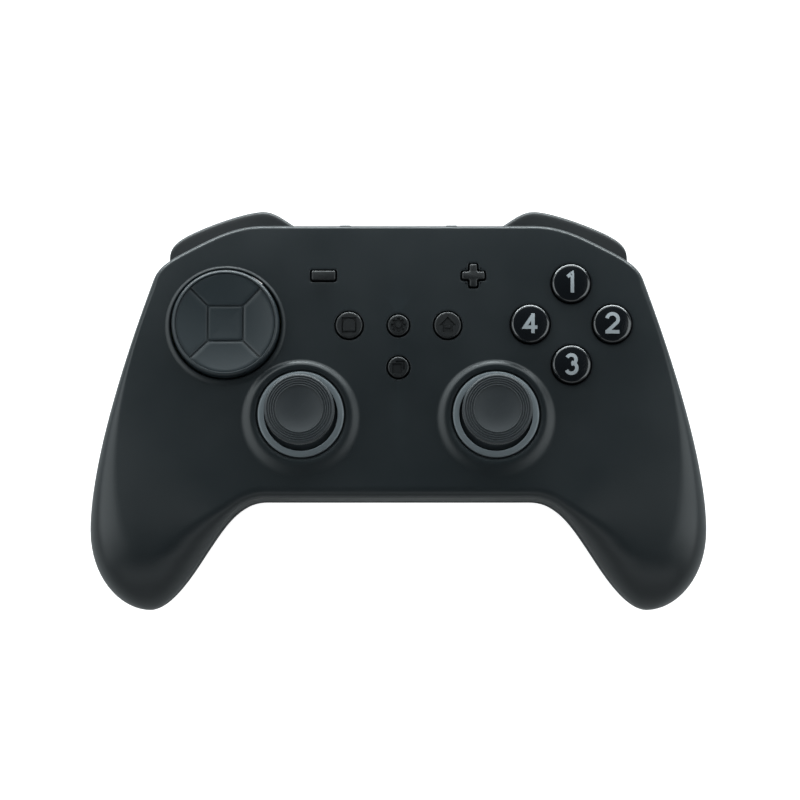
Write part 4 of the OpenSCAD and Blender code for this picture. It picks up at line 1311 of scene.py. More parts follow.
@dataclass
class Stick:
    """A thumb stick's bright ring and its ridged cap."""

    centre: Point
    side: Side
    face_z: float = 40.0
    ring_profile: tuple[Point, ...] = (
        (9.2, -2.0), (9.2, 0.3), (9.24, 0.4), (9.34, 0.46), (9.5, 0.48), (10.0, 0.5), (10.45, 0.48),
        (10.64, 0.42), (10.76, 0.3), (10.8, 0.1), (10.8, -1.0), (10.2, -1.0), (10.2, -2.0),
    )
    pivot_z: float = 29.0
    dome_r: float = 12.47
    dome_t: float = 0.9
    dome_edge: float = 62.0
    neck_r: float = 3.0
    neck_clear: float = 4.0
    neck_foot: tuple[Point, ...] = ((0.25, 41.9), (0.0, 42.4))
    flare: tuple[Point, ...] = ((0.0, -3.0), (0.3, -2.0), (1.0, -1.0))
    brim: tuple[Point, ...] = ((-2.0, -0.3), (-0.9, 0.0), (-0.25, 0.3), (0.0, 0.8))
    cap_r: float = 8.65
    cap_z: float = 54.0
    cap_h: float = 5.0
    cap_edge: float = 0.7
    ridge_from: float = 7.95
    ridges: int = 4
    ridge_h: float = 0.24
    ridge_start: float = 0.02
    ridge_fall: float = 0.05
    ridge_shape: tuple[Point, ...] = ((0.1, 1.0), (0.35, 0.9), (0.65, 0.1), (0.85, 0.0))
    dish_r: float = 5.75
    dish_deep: float = 1.2
    dish_step: float = 0.2
    dish_lip: float = 0.35
    knurls: int = 90
    knurl_deep: float = 0.09
    knurl_span: Point = (1.0, 2.6)

    def ring(self) -> Mesh:
        """The turned ring that lines the opening."""
        profile = [(r, self.face_z + up) for r, up in self.ring_profile]
        return lathe(profile, self.centre, Ends.LOOPED, FINE_ROUND)

    def dome(self, radius: float, start: float, end: float, count: int) -> list[Point]:
        """Profile points of a dome about the stick's pivot, between two angles from its top."""
        turns = np.radians(np.linspace(start, end, count))
        return [(radius * math.sin(a), self.pivot_z + radius * math.cos(a)) for a in turns]

    def top_profile(self) -> list[Point]:
        """The cap's crown from its side inward: round edge, fine ridges and thumb dish.

        Returns:
            Points of radius and height, ending on the axis.
        """
        edge = self.cap_edge
        found = arc_profile((self.cap_r - edge, self.cap_z - edge), edge, 0, 84, 10)
        pitch = (self.ridge_from - self.dish_r) / self.ridges
        for k in range(self.ridges):
            r = self.ridge_from - k * pitch
            z = self.cap_z - self.ridge_start - self.ridge_fall * k
            found += [(r - along * pitch, z - down * self.ridge_h) for along, down in self.ridge_shape]
        low = self.cap_z - self.dish_step - self.dish_deep
        for t in np.linspace(1, 0, 12):
            found.append((self.dish_r * t, low + (self.dish_deep - self.dish_lip) * t * t))
        return found

    def cap(self) -> Mesh:
        """The rubber cap with its hollow dome.

        Returns:
            A closed form.
        """
        low = self.cap_z - self.cap_h
        rise = math.degrees(math.asin(self.neck_r / self.dome_r)) + self.neck_clear
        profile = self.dome(self.dome_r - self.dome_t, 0, self.dome_edge, 14)
        profile += self.dome(self.dome_r, self.dome_edge, rise, 20)
        profile += [(self.neck_r + out, z) for out, z in self.neck_foot]
        profile += [(self.neck_r + out, low + up) for out, up in self.flare]
        profile += [(self.cap_r + out, low + up) for out, up in self.brim]
        count = 4 * self.knurls
        around = circle(1.0, count)
        wave = 0.5 + 0.5 * np.cos(np.linspace(0, 2 * math.pi, count, endpoint=False) * self.knurls)
        knurled = around * (self.cap_r - self.knurl_deep * wave)[:, None]
        rings = [flat_ring(circle(r, count), z, self.centre) for r, z in profile]
        rings += [flat_ring(knurled, low + up, self.centre) for up in self.knurl_span]
        rings += [flat_ring(circle(r, count), z, self.centre) for r, z in self.top_profile()]
        return skinned(rings)

    def build(self, shop: Workshop) -> None:
        """Builds and dresses both pieces.

        Args:
            shop: dresses each piece and rides it on its body.
        """
        ring = new_object(f"stick_trim_{self.side.word}", self.ring())
        shade(ring, crease=50.0)
        shop.fit(ring, f"stick_ring_{self.side.word}", "ring_metal")
        cap = new_object(f"stick_grip_{self.side.word}", self.cap())
        shade(cap, SOFT_CREASE)
        shop.fit(cap, f"stick_cap_{self.side.word}", "stick_rubber")


@dataclass
class DirectionPad:
    """The rocking disc: a round rim, a shallow dish and five tiles with grooves between them."""

    centre: Point
    skirt_r: float = 13.7
    waist: Point = (13.22, 41.95)
    flank: tuple[Point, ...] = (
        (13.4, -1.07), (13.4, -0.8), (13.34, -0.55), (13.22, -0.34), (13.06, -0.17), (12.9, -0.06),
        (12.74, -0.01), (12.62, 0.0),
    )
    dish_r: float = 12.5
    rim_z: float = 43.2
    dish_deep: float = 1.35
    rim_step: float = 0.28
    skirt_z: float = 38.4
    under_z: float = 39.6
    pivot_z: float = 37.0
    square_half: float = 4.4
    groove: float = 0.46
    groove_deep: float = 0.42
    tile_edge: float = 0.14
    tile_deep: float = 0.8
    tile_bend: float = 0.3
    tile_rows: tuple[float, ...] = (0.85, 0.65, 0.45, 0.25, 0.0)
    tile_clear: float = 0.08
    floor_clear: float = 0.02
    facet: float = 0.35
    square_corner: float = 0.6
    skirt_walls: Point = (2.0, 1.6)
    skirt_edge: float = 0.2
    rim_fall: float = 0.06
    ear_half: tuple[float, float] = (1.7, 0.8)
    ear_y: float = 3.2
    ear_drop: float = 1.4
    plunger_r: float = 1.5
    plunger_low_z: float = 25.4
    plunger_place: float = 9.0
    overlap: float = 0.5

    def top_z(self, x: np.ndarray, y: np.ndarray) -> np.ndarray:
        """Height of the dish: a round hollow that leans towards four flats.

        Args:
            x: across the disc, from its centre.
            y: along the disc, from its centre.

        Returns:
            A height for each point.
        """
        bowl = np.hypot(x, y) / self.dish_r
        flats = np.maximum(np.abs(x), np.abs(y)) / self.dish_r
        share = (1 - self.facet) * bowl**2 + self.facet * flats**2
        return self.rim_z - self.rim_step - self.dish_deep * (1 - share)

    def base(self) -> Mesh:
        """The turned disc, whose floor lies below the tiles.

        Returns:
            A closed form.
        """
        thick, thin = self.skirt_walls
        profile = [
            (0.0, self.under_z), (self.skirt_r - thick, self.under_z), (self.skirt_r - thin, self.skirt_z),
            (self.skirt_r - self.skirt_edge, self.skirt_z), (self.skirt_r, self.skirt_z + self.skirt_edge),
            self.waist,
        ]
        profile += [(r, self.rim_z + down) for r, down in self.flank]
        profile.append((self.dish_r, self.rim_z - self.rim_fall))
        inner = self.dish_r - self.floor_clear
        for t in np.linspace(1, 0, 10):
            r = inner * t
            floor = self.rim_z - self.rim_step - self.dish_deep * (1 - t * t * (1 - 0.5 * self.facet))
            profile.append((r, floor - self.groove_deep))
        return lathe(profile, (0.0, 0.0), count=FINE_ROUND)

    def fan_outline(self) -> np.ndarray:
        """The outline of the tile on the far side.

        Returns:
            Points in the disc's plane, anticlockwise.
        """
        g = self.groove / 2
        r = self.dish_r - self.tile_clear
        y_in = self.square_half + g
        x_in = y_in - g * math.sqrt(2)
        x_out = (math.sqrt(2 * r * r - 2 * g * g) - math.sqrt(2) * g) / 2
        start = math.degrees(math.acos(x_out / r))
        rim = arc_profile((0.0, 0.0), r, start, 180 - start, 28)
        sides = np.linspace(0, 1, 10, endpoint=False)[:, None]
        inner = np.array([-x_in, y_in]) + np.array([2 * x_in, 0]) * sides
        right = np.array([x_in, y_in]) + (np.array(rim[0]) - [x_in, y_in]) * sides
        left = np.array(rim[-1]) + (np.array([-x_in, y_in]) - np.array(rim[-1])) * sides
        return np.vstack([inner, right, rim[:-1], left])

    def tile(self, outline: np.ndarray) -> Mesh:
        """A tile that follows the dish.

        Args:
            outline: in the disc's plane.

        Returns:
            A closed form.
        """
        heart = outline.mean(axis=0)
        inside = grown(outline, -self.tile_edge)
        bend = self.tile_edge * self.tile_bend
        mid = grown(outline, -bend)
        rings = []
        levels = ((outline, self.tile_deep), (outline, self.tile_edge), (mid, bend), (inside, 0.0))
        for flat, drop in levels:
            rings.append(np.column_stack([flat, self.top_z(*flat.T) - drop]))
        for t in self.tile_rows:
            flat = heart + (inside - heart) * t
            rings.append(np.column_stack([flat, self.top_z(*flat.T)]))
        return skinned(rings)

    def under(self) -> list[Mesh]:
        """The ears on the cross pivot and the four plungers.

        Returns:
            A closed form for each of them.
        """
        made = []
        w, t = self.ear_half
        top = self.under_z + self.overlap
        plunger = [(self.plunger_r, self.plunger_low_z), (self.plunger_r, top)]
        for way in (-1, 1):
            y = way * self.ear_y
            made.append(block((-w, y - t, self.pivot_z - self.ear_drop), (w, y + t, top)))
            for place in ((way * self.plunger_place, 0.0), (0.0, way * self.plunger_place)):
                made.append(lathe(plunger, place, count=POST_ROUND))
        return made

    def build(self, shop: Workshop) -> None:
        """Builds and dresses the disc.

        Args:
            shop: dresses each piece and rides it on its body.
        """
        fan = self.fan_outline()
        quarter = np.array([[0.0, 1.0], [-1.0, 0.0]])
        tiles = []
        for _ in range(4):
            tiles.append(self.tile(fan))
            fan = fan @ quarter
        side = 2 * self.square_half - self.groove
        tiles.append(self.tile(round_corners(box_outline(side, side), self.square_corner)))
        verts, faces = gathered([self.base(), *tiles, *self.under()])
        disc = new_object("dpad_rocker", (verts + np.array([*self.centre, 0.0]), faces))
        shade(disc, SOFT_CREASE)
        shop.fit(disc, "dpad_disc", "dpad_plastic")


def stroke(points: np.ndarray, width: float, top: Callable[[float, float], float], deep: float) -> Mesh:
    """A pen stroke as a thin solid that lies on a surface.

    Args:
        points: the pen's line in the plane.
        width: of the stroke.
        top: height of the stroke's top over the plane.
        deep: thickness below the top.

    Returns:
        A closed form.
    """
    ahead = np.diff(points, axis=0)
    ahead /= np.linalg.norm(ahead, axis=1)[:, None]
    closed = np.allclose(points[0], points[-1])
    before = np.vstack([ahead[-1:] if closed else ahead[:1], ahead])
    after = np.vstack([ahead, ahead[:1] if closed else ahead[-1:]])
    mitre = before + after
    normal = np.column_stack([-mitre[:, 1], mitre[:, 0]])
    normal *= (2 / np.maximum((normal * normal).sum(axis=1), 1.0))[:, None]
    left, right = points + normal * width / 2, points - normal * width / 2
    rings = []
    for a, b in zip(left, right):
        za, zb = float(top(a[0], a[1])), float(top(b[0], b[1]))
        rings.append(np.array([[*a, za], [*a, za - deep], [*b, zb - deep], [*b, zb]]))
    if closed:
        return skinned(rings[:-1], Ends.LOOPED)
    return skinned(rings)


def dense(points: Sequence[Point], step: float = 0.3) -> np.ndarray:
    """A line with extra points, so that it can follow a curved surface.

    Args:
        points: the corners.
        step: longest stretch.

    Returns:
        The points.
    """
    pts = np.asarray(points, float)
    found = []
    for a, b in zip(pts[:-1], pts[1:]):
        count = max(1, math.ceil(float(np.linalg.norm(b - a)) / step))
        found += [a + (b - a) * k / count for k in range(count)]
    return np.array(found + [pts[-1]])


class Numeral(Enum):
    """Plain figures as pen lines in a box one unit high."""

    ONE = (((-0.19, 0.3), (0.05, 0.5), (0.05, -0.5)),)
    TWO = (
        tuple(arc_profile((0.0, 0.2), 0.28, 170, -32, 14)) + ((-0.28, -0.42),),
        ((-0.36, -0.43), (0.34, -0.43)),
    )
    THREE = (
        tuple(arc_profile((-0.02, 0.225), 0.23, 155, -90, 16)),
        tuple(arc_profile((-0.02, -0.2), 0.27, 90, -155, 16)),
    )
    FOUR = (((0.12, -0.5), (0.12, 0.5)), ((0.12, 0.42), (-0.3, -0.2), (0.34, -0.2)))

    def lines(self, height: float) -> list[np.ndarray]:
        """The figure's lines at a height in millimetres."""
        return [dense(np.array(line) * height) for line in self.value]


@dataclass
class FaceButtons:
    """The four glossy domed buttons and the plain numeral on each."""

    plan: FacePlan
    radius: float = 4.8
    crown_z: float = 42.1
    dome_r: float = 26.0
    shoulder: float = 0.7
    flange_r: float = 5.9
    flange_z: float = 36.05
    flange_t: float = 1.4
    stem_r: float = 2.2
    stem_z: float = 25.9
    numeral_h: float = 5.0
    pen: float = 0.88
    proud: float = 0.02
    ink_deep: float = 0.2
    squash: float = 0.95

    def dome(self, r: np.ndarray | float) -> np.ndarray | float:
        """Height of the dome at a radius."""
        return self.crown_z - (self.dome_r - np.sqrt(self.dome_r**2 - np.square(r)))

    def ink_z(self, x: float, y: float) -> float:
        """Height of the numeral's face, a little proud of the dome."""
        return self.dome(math.hypot(x, y)) + self.proud

    def button(self, place: Point) -> Mesh:
        """One button with its flange and stem.

        Args:
            place: of the button on the face.

        Returns:
            A closed form.
        """
        top = self.flange_z + self.flange_t
        edge_r = self.radius - self.shoulder
        edge_z = float(self.dome(edge_r))
        profile = [(0.0, self.stem_z), (self.stem_r, self.stem_z), (self.stem_r, self.flange_z)]
        profile += [(self.flange_r, self.flange_z), (self.flange_r, top), (self.radius, top)]
        lean = math.degrees(math.asin(edge_r / self.dome_r))
        tall = self.squash * self.shoulder
        for c, s in arc_profile((0.0, 0.0), 1.0, 0, 90 - lean, 10):
            profile.append((edge_r + self.shoulder * c, edge_z - tall + tall * s))
        for t in np.linspace(0.95, 0, 12):
            profile.append((edge_r * t, float(self.dome(edge_r * t))))
        return lathe(profile, place)

    def build(self, shop: Workshop) -> None:
        """Builds and dresses the buttons and their numerals.

        Args:
            shop: dresses each piece and rides it on its body.
        """
        for (name, place), figure in zip(self.plan.face_places().items(), Numeral):
            button = new_object(f"face_cap_{name}", self.button(place))
            shade(button, SOFT_CREASE)
            shop.fit(button, f"face_button_{name}", "button_gloss")
            lines = figure.lines(self.numeral_h)
            verts, faces = gathered(stroke(line, self.pen, self.ink_z, self.ink_deep) for line in lines)
            ink = new_object(f"face_numeral_{name}", (verts + np.array([*place, 0.0]), faces))
            shade(ink, crease=30.0)
            shop.fit(ink, f"face_button_{name}", "button_gloss", stands_in=False, ink="numeral_ink")


def gear_outline(inner: float, outer: float, teeth: int) -> tuple[Point, ...]:
    """A gear's outline with square teeth, anticlockwise.

    Args:
        inner: radius of the gaps.
        outer: radius of the teeth.
        teeth: how many.

    Returns:
        Corners round the gear.
    """
    found = []
    pitch = 2 * math.pi / teeth
    for k in range(teeth):
        for share, r in ((-0.5, inner), (-0.27, inner), (-0.2, outer), (0.2, outer), (0.27, inner)):
            turn = math.pi / 2 + (k + share) * pitch
            found.append((r * math.cos(turn), r * math.sin(turn)))
    return tuple(found)


class Sign(Enum):
    """Plain pictograms on the menu buttons: recessed outlines and the islands left standing in them."""

    CAPTURE = (
        (((-1.78, -1.95), (1.78, -1.95), (1.78, 1.9), (-1.78, 1.9)),),
        (((-1.5, -1.4), (1.5, -1.4), *arc_profile((0.0, 0.1), 1.5, 0, 180, 20)),),
    )
    HOME = (
        (((-1.2, -1.75), (1.2, -1.75), (1.2, 0.05), (1.95, 0.05), (0.0, 2.0), (-1.95, 0.05), (-1.2, 0.05)),),
        (((-0.55, -0.65), (0.55, -0.65), (0.55, -0.2), (-0.55, -0.2)),),
    )
    SETTINGS = (
        (gear_outline(1.3, 1.8, 8),),
        (tuple(arc_profile((0.0, 0.05), 0.68, 0, 340, 17)),),
    )
    SQUARE = (
        (((-1.5, -1.5), (0.85, -1.5), (0.85, 0.85), (-1.5, 0.85)),
         ((-0.6, 1.15), (1.15, 1.15), (1.15, -0.6), (1.55, -0.6), (1.55, 1.55), (-0.6, 1.55))),
        (),
    )


@dataclass
class MenuButtons:
    """The flat menu buttons: minus, plus and four round ones with engraved pictograms."""

    plan: FacePlan
    top_z: float = 40.8
    edge: float = 0.4
    flange_z: float = 36.05
    flange_t: float = 1.4
    flange_lip: float = 0.7
    stem_r: float = 1.3
    stem_z: float = 25.9
    engraved: float = 0.45
    wall_lean: float = 0.1
    crown: float = 0.02
    overlap: float = 0.5
    cut_past: float = 1.0
    cut_top: float = 0.05

    def side(self) -> list[Point]:
        """Profile of a button from its flange to its rounded top edge: growth and height.

        Returns:
            Points from the flange's foot up.
        """
        top = self.flange_z + self.flange_t
        bend = arc_profile((-self.edge, self.top_z - self.edge), self.edge, 0, 80, 6)
        return [(self.flange_lip, self.flange_z), (self.flange_lip, top), (0.0, top), *bend]

    def stem(self, place: Point) -> Mesh:
        """The stem on the switch."""
        profile = [(self.stem_r, self.stem_z), (self.stem_r, self.flange_z + self.overlap)]
        return lathe(profile, place, count=STEM_ROUND)

    def round_button(self, place: Point, radius: float) -> Mesh:
        """A round button with a faintly domed top.

        Args:
            place: of the button on the face.
            radius: of its cap.

        Returns:
            A closed form.
        """
        profile = [(0.0, self.flange_z)] + [(radius + g, z) for g, z in self.side()]
        for t in np.linspace(0.9, 0, 6):
            profile.append(((radius - self.edge) * t, self.top_z - self.crown * t))
        return lathe(profile, place, count=BUTTON_ROUND)

    def recess(self, sign: Sign, place: Point) -> Mesh:
        """The sunk part of a pictogram, whose walls lean outward.

        Args:
            sign: the pictogram.
            place: middle of its button.

        Returns:
            A cutting form with gaps where the islands stand.
        """
        holes, islands = sign.value
        low, high = self.top_z - self.engraved, self.top_z + self.cut_top
        wells = [moulded(np.array(h), [(0.0, low), (self.wall_lean, high)], place) for h in holes]
        if not islands:
            return gathered(wells)
        well = new_object("well", gathered(wells))
        for island in islands:
            post = [(self.wall_lean, low - self.cut_past), (self.wall_lean, low),
                    (0.0, high), (0.0, high + self.cut_past)]
            carve(well, moulded(np.array(island), post, place))
        verts = np.array([v.co for v in well.data.vertices]) / MM
        faces = [list(p.vertices) for p in well.data.polygons]
        discard(well)
        return verts, faces

    def build(self, shop: Workshop) -> None:
        """Builds and dresses all six buttons.

        Args:
            shop: dresses each piece and rides it on its body.
        """
        rounds = [
            ("capture", self.plan.system[0], self.plan.system_hole_r, Sign.CAPTURE),
            ("home", self.plan.system[1], self.plan.system_hole_r, Sign.HOME),
            ("settings", self.plan.small[0], self.plan.small_hole_r, Sign.SETTINGS),
            ("square", self.plan.small[1], self.plan.small_hole_r, Sign.SQUARE),
        ]
        for name, place, hole, sign in rounds:
            cap = new_object(f"menu_cap_{name}", self.round_button(place, hole - self.plan.button_gap))
            carve(cap, self.recess(sign, place))
            absorb(cap, new_object("stem", self.stem(place)))
            shade(cap)
            shop.fit(cap, f"{name}_button", "menu_plastic")
        for (place, outline), name in zip(self.plan.sign_outlines(0.0), ("minus", "plus")):
            form = gathered([moulded(outline, self.side(), place), self.stem(place)])
            cap = new_object(f"menu_cap_{name}", form)
            shade(cap)
            shop.fit(cap, f"{name}_button", "menu_plastic")


@dataclass
class ShoulderControls:
    """The bumpers along the top edge and the triggers below them, both as lofts along one line."""

    start: Point = (24.6, 45.0)
    crown: Point = (34.6, 49.9)
    bend: Point = (54.0, 43.6)
    end: Point = (58.4, 38.2)
    pulls: tuple[tuple[Point, Point], ...] = (
        ((3.4, 1.6), (-3.6, 0.0)), ((4.5, 0.0), (-4.4, 2.4)), ((2.3, -1.25), (0.0, 2.6)),
    )
    low_z: float = 15.7
    top_z: float = 26.5
    deep: float = 5.0
    nose: float = 1.8
    nose_share: float = 0.6
    nose_steps: int = 33
    fullness: float = 4.5
    back_y: float = 35.17
    pin: Point = (22.5, 38.5)
    boss_r: float = 3.0
    boss_low_z: float = 18.6
    boss_drop: float = 0.2
    web: tuple[Point, ...] = ((0.5, -2.9), (8.5, 3.5), (8.5, 8.0), (4.5, 6.6), (2.4, 4.0), (-0.5, 2.9))
    finger_x: Point = (51.5, 53.5)
    finger_back_y: float = 33.6
    finger_half_h: float = 1.5
    trigger_low_z: float = 5.1
    trigger_top_z: float = 15.2
    trigger_pivot: Point = (35.5, 21.5)
    trigger_boss_r: float = 3.0
    trigger_back_y: float = 39.44
    trigger_thin: float = 3.0
    hook: tuple[tuple[float, float, float], ...] = (
        (1.0, -1.2, 1.0), (1.0, -0.2, 0.92), (1.0, 0.3, 0.78), (1.0, 0.5, 0.6), (1.0, 0.8, 0.4),
        (1.0, 1.5, 0.2), (1.0, 2.1, 0.08), (1.0, 1.6, 0.0), (0.6, 0.0, 0.02), (0.0, 0.0, 0.3),
    )
    hook_steps: int = 4
    arm_root: tuple[Point, Point] = ((-2.7, -1.1), (2.8, 0.6))
    arm_foot: tuple[Point, ...] = ((1.4, 0.3), (2.2, -4.0), (0.7, -4.0), (-0.7, 0.4))
    arms: tuple[Point, Point] = ((32.0, 35.0), (43.0, 46.0))
    steps: tuple[int, int, int] = (24, 28, 24)
    trigger_span: tuple[int, int] = (8, 64)
    trigger_ends: int = 9
    trigger_round: float = 1.8

    def line(self) -> list[np.ndarray]:
        """Points along the front of a bumper, from its inner to its outer end.

        Returns:
            Points in the plane of the face.
        """
        corners = (self.start, self.crown, self.bend, self.end)
        found = []
        for first, last, pulls, count in zip(corners[:-1], corners[1:], self.pulls, self.steps):
            found += [pulled(first, last, pulls, k / count) for k in range(count)]
        return found + [np.array(self.end)]

    def bumper(self) -> Mesh:
        """A round-nosed slab with its boss and its switch finger.

        Returns:
            The right one, as closed forms in one mesh.
        """
        middle, half = (self.top_z + self.low_z) / 2, (self.top_z - self.low_z) / 2
        rings = []
        for x, y in self.line():
            back = max(y - self.deep, self.back_y)
            nose = min(self.nose, self.nose_share * (y - back))
            turn = np.radians(np.linspace(90, -90, self.nose_steps))
            out = y - nose * (1 - np.cos(turn).clip(0) ** (2 / self.fullness))
            high = middle + half * np.sign(turn) * np.abs(np.sin(turn)) ** (2 / self.fullness)
            arc = np.column_stack([np.full(len(turn), x), out, high])
            rings.append(np.vstack([[x, back, self.top_z], arc, [x, back, self.low_z]]))
        web = np.array(self.web) + self.pin
        boss_span = (self.boss_low_z, self.top_z - self.boss_drop)
        finger_low = (self.finger_x[0], self.finger_back_y, middle - self.finger_half_h)
        finger_high = (self.finger_x[1], self.bend[1] - self.nose, middle + self.finger_half_h)
        return gathered([
            skinned(rings),
            lathe([(self.boss_r, z) for z in boss_span], self.pin, count=PIN_ROUND),
            skinned([flat_ring(web, z) for z in boss_span]),
            block(finger_low, finger_high),
        ])

    def trigger(self) -> Mesh:
        """A hooked face hung on two arms.

        Returns:
            The right one, as closed forms in one mesh.
        """
        height = self.trigger_top_z - self.trigger_low_z
        profile = np.vstack([[(0, 0, 1)], smooth_line(self.hook, self.hook_steps)])
        depth = profile[:, 0].clip(0, 1)
        past = np.minimum(profile[:, 1], max(reach for _, reach, _ in self.hook))
        rings = []
        line = self.line()[self.trigger_span[0]:self.trigger_span[1] + 1]
        for k, (x, y) in enumerate(line):
            back = min(self.trigger_back_y, y - self.trigger_thin)
            edge = min(k, len(line) - 1 - k) / self.trigger_ends
            drawn_in = self.trigger_round * (1 - math.sqrt(1 - max(1 - edge, 0.0) ** 2))
            rings.append(np.column_stack([
                np.full(len(profile), x),
                back + (y - back) * depth + past - drawn_in * depth,
                np.clip(self.trigger_low_z + height * profile[:, 2], self.trigger_low_z, None),
            ]))
        made = [skinned(rings)]
        foot = (self.trigger_back_y, self.trigger_top_z)
        arm = np.vstack([np.array(self.arm_root) + self.trigger_pivot, np.array(self.arm_foot) + foot])
        boss = circle(self.trigger_boss_r, PIN_ROUND, self.trigger_pivot)
        for low, high in self.arms:
            for plan in (arm, boss):
                ends = [np.column_stack([np.full(len(plan), x), plan]) for x in (low, high)]
                made.append(skinned(ends))
        return gathered(made)

    def build(self, shop: Workshop) -> None:
        """Builds and dresses both sides.

        Args:
            shop: dresses each piece and rides it on its body.
        """
        for side in Side:
            bumper = new_object(f"bumper_skin_{side.word}", mirrored(self.bumper(), side))
            shade(bumper, SOFT_CREASE)
            shop.fit(bumper, f"bumper_{side.word}", "bumper_plastic")
            trigger = new_object(f"trigger_skin_{side.word}", mirrored(self.trigger(), side))
            shade(trigger, SOFT_CREASE)
            shop.fit(trigger, f"trigger_{side.word}", "trigger_plastic")


INNER_SLOTS = {
    "inner_frame": "frame_plastic", "main_board": "board_laminate", "board_screws": "steel",
    "case_screws": "steel", "stick_housing": "steel", "stick_sensors": "board_laminate",
    "stick_yoke": "frame_plastic", "stick_pivot": "frame_plastic", "stick_shaft": "steel",
    "dpad_post": "frame_plastic", "dpad_cross": "steel", "dpad_membrane": "silicone",
    "face_button_membrane": "silicone", "menu_switches": "steel", "bumper_pins": "steel",
    "bumper_switches": "steel", "trigger_pins": "steel", "trigger_sensors": "board_laminate",
    "trigger_spring": "steel", "battery": "cell_wrap", "rumble_motor": "steel",
    "rumble_weight": "weight_metal", "usb_port": "steel", "mode_switch_bodies": "frame_plastic",
    "mode_switch_left": "menu_plastic", "mode_switch_right": "menu_plastic",
}


@dataclass
class InnerWorks:
    """The frame's own solids that stay: board, mechanism, battery, motors and sockets."""

    soft_edge: float = 0.12
    crease: float = 50.0
    softened: tuple[str, ...] = ("mode_switch_", "battery", "usb_port")

    def dress(self, shop: Workshop) -> None:
        """Gives every shown solid its finish, and some of them a soft edge.

        Args:
            shop: dresses each piece and rides it on its body.
        """
        for name, obj in shop.frame["nodes"].items():
            if obj.hide_render:
                continue
            slot = INNER_SLOTS.get(name) or INNER_SLOTS[name.rsplit("_", 1)[0]]
            obj.data.materials.clear()
            obj.data.materials.append(shop.materials[slot])
            if name.startswith(self.softened):
                edge = obj.modifiers.new("soft_edge", "BEVEL")
                edge.width = self.soft_edge * MM
                edge.segments = 2
                edge.limit_method = "ANGLE"
                edge.angle_limit = math.radians(self.crease)
            LOG.info("node %s wears %s", name, slot)


@dataclass(frozen=True)
class Lamp:
    """A soft lamp that faces the pad, in metres and watts."""

    name: str
    place: tuple[float, float, float]
    size: Point
    power: float
    tint: tuple[float, float, float] = (0.9, 0.98, 1.0)
    faces: tuple[float, float, float] = (0.0, 0.0, 0.03)

    def build(self) -> None:
        """Hangs the lamp, unseen by the camera."""
        data = bpy.data.lights.new(self.name, "AREA")
        data.shape = "RECTANGLE"
        data.size, data.size_y = self.size
        data.energy = self.power
        data.color = self.tint
        obj = linked(self.name, data)
        obj.location = self.place
        obj.visible_camera = False
        obj.rotation_euler = (Vector(self.faces) - Vector(self.place)).to_track_quat("-Z", "Y").to_euler()


LAMPS = (
    Lamp("top_softbox", (-0.03, 0.25, 0.28), (0.8, 0.17), 1.15),
    Lamp("rim_strip", (0.0, 0.6, 0.09), (1.3, 0.12), 13.0),
    Lamp("left_panel", (-0.32, -0.04, 0.27), (0.34, 0.42), 0.8),
    Lamp("right_panel", (0.32, -0.04, 0.27), (0.34, 0.42), 0.8),
    Lamp("front_fill", (0.0, -0.8, 0.5), (1.2, 0.3), 0.7),
)


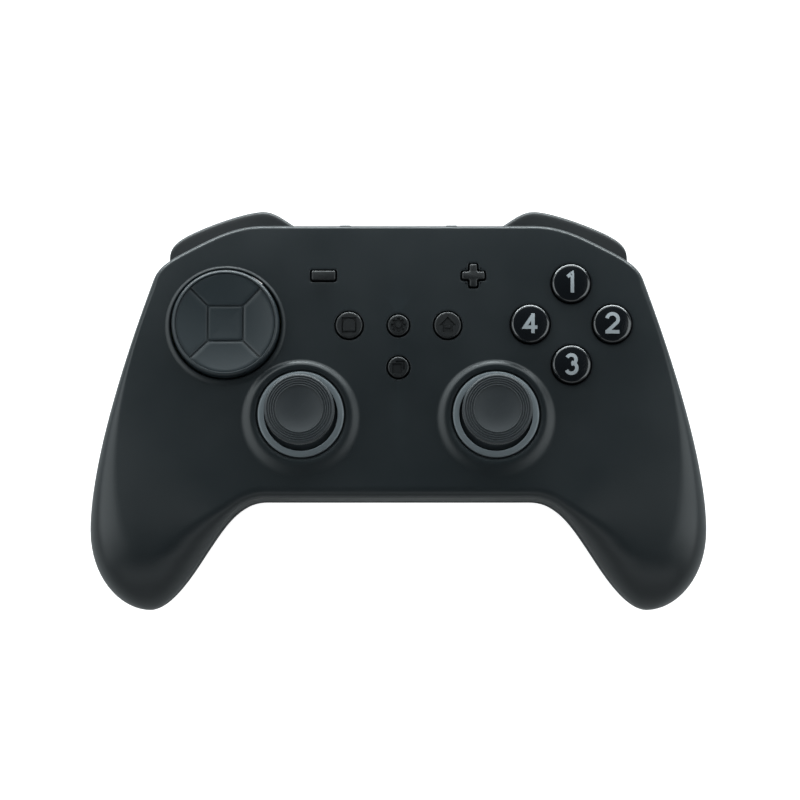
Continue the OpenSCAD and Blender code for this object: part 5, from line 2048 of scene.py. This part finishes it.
@dataclass
class Studio:
    """The floor, the lamps and the camera at the photograph's angle."""

    elevation: float = 83.6
    distance: float = 0.8
    frame_width: float = 0.2
    aim: tuple[float, float, float] = (0.0004, -0.0004, 0.04)
    lens_sensor: float = 36.0
    horizon_light: float = 0.36
    zenith_light: float = 0.02
    floor_glow: float = 0.9
    floor_half: float = 3.0
    floor_tone: float = 0.6
    sky_tint: tuple[float, ...] = (0.97, 0.985, 1.0, 1.0)

    def floor(self) -> None:
        """A pale floor that keeps the shadow and shows white to the camera."""
        plane = bpy.data.meshes.new("floor")
        corners = [(x, y, 0.0) for x, y in box_outline(2 * self.floor_half, 2 * self.floor_half)]
        plane.from_pydata(corners, [], [[0, 1, 2, 3]])
        obj = linked("floor", plane)
        made = bpy.data.materials.new("pale_floor")
        made.use_nodes = True
        tree = made.node_tree
        skin = tree.nodes["Principled BSDF"]
        tone = (self.floor_tone, self.floor_tone, self.floor_tone, 1.0)
        set_constants(skin, {"Base Color": tone, "Roughness": 0.9, "Specular IOR Level": 0.0})
        glow = add_node(tree, "Emission", {"Color": (1, 1, 1, 1)})
        rays = add_node(tree, "LightPath")
        seen = add_node(tree, "Math", operation="ADD")
        seen.use_clamp = True
        shown = add_node(tree, "Math", {1: self.floor_glow}, "MULTIPLY")
        both = add_node(tree, "AddShader")
        side = add_node(tree, "NewGeometry")
        clear = add_node(tree, "BsdfTransparent")
        sided = add_node(tree, "MixShader")
        links = tree.links
        links.new(rays.outputs["Is Camera Ray"], seen.inputs[0])
        links.new(rays.outputs["Is Transmission Ray"], seen.inputs[1])
        links.new(seen.outputs[0], shown.inputs[0])
        links.new(shown.outputs[0], glow.inputs["Strength"])
        links.new(skin.outputs[0], both.inputs[0])
        links.new(glow.outputs[0], both.inputs[1])
        links.new(side.outputs["Backfacing"], sided.inputs[0])
        links.new(both.outputs[0], sided.inputs[1])
        links.new(clear.outputs[0], sided.inputs[2])
        links.new(sided.outputs[0], tree.nodes["Material Output"].inputs["Surface"])
        obj.data.materials.append(made)

    def world(self) -> None:
        """A surround that is bright near the horizon, dim overhead and white to the camera."""
        world = bpy.data.worlds.new("studio")
        bpy.context.scene.world = world
        world.use_nodes = True
        tree = world.node_tree
        back = tree.nodes["Background"]
        set_constants(back, {"Color": self.sky_tint})
        rays = add_node(tree, "LightPath")
        level = add_node(tree, "MapRange", {"To Max": 1.0})
        place = add_node(tree, "TexCoord")
        split = add_node(tree, "SeparateXYZ")
        fade = add_node(tree, "MapRange", {"To Min": self.horizon_light, "To Max": self.zenith_light})
        fade.interpolation_type = "SMOOTHSTEP"
        links = tree.links
        links.new(place.outputs["Generated"], split.inputs[0])
        links.new(split.outputs["Z"], fade.inputs["Value"])
        links.new(fade.outputs["Result"], level.inputs["To Min"])
        links.new(rays.outputs["Is Camera Ray"], level.inputs["Value"])
        links.new(level.outputs["Result"], back.inputs["Strength"])

    def camera(self) -> None:
        """The camera, above the face and a little towards the player."""
        data = bpy.data.cameras.new("camera")
        data.sensor_width = self.lens_sensor
        data.lens = self.lens_sensor * self.distance / self.frame_width
        data.clip_start = 0.05
        obj = linked("camera", data)
        rise = math.radians(self.elevation)
        back = Vector((0, -math.cos(rise), math.sin(rise)))
        obj.location = Vector(self.aim) + back * self.distance
        obj.rotation_euler = (math.pi / 2 - rise, 0, 0)
        bpy.context.scene.camera = obj

    def build(self) -> None:
        """Sets up the whole studio."""
        bpy.context.scene.view_settings.view_transform = "Standard"
        self.floor()
        self.world()
        for lamp in LAMPS:
            lamp.build()
        self.camera()


def main() -> None:
    """Builds the pad in order."""
    logging.basicConfig(level=logging.INFO, format="%(message)s")
    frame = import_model()
    shop = Workshop(frame)
    form, plan = HousingForm(), FacePlan()
    FrontShell(form, plan).build(shop)
    RearShell(form).build(shop)
    for side, centre in zip(Side, plan.sticks):
        Stick(centre, side).build(shop)
    DirectionPad(plan.dpad).build(shop)
    FaceButtons(plan).build(shop)
    MenuButtons(plan).build(shop)
    ShoulderControls().build(shop)
    InnerWorks().dress(shop)
    Studio().build()


if __name__ == "__main__":
    main()
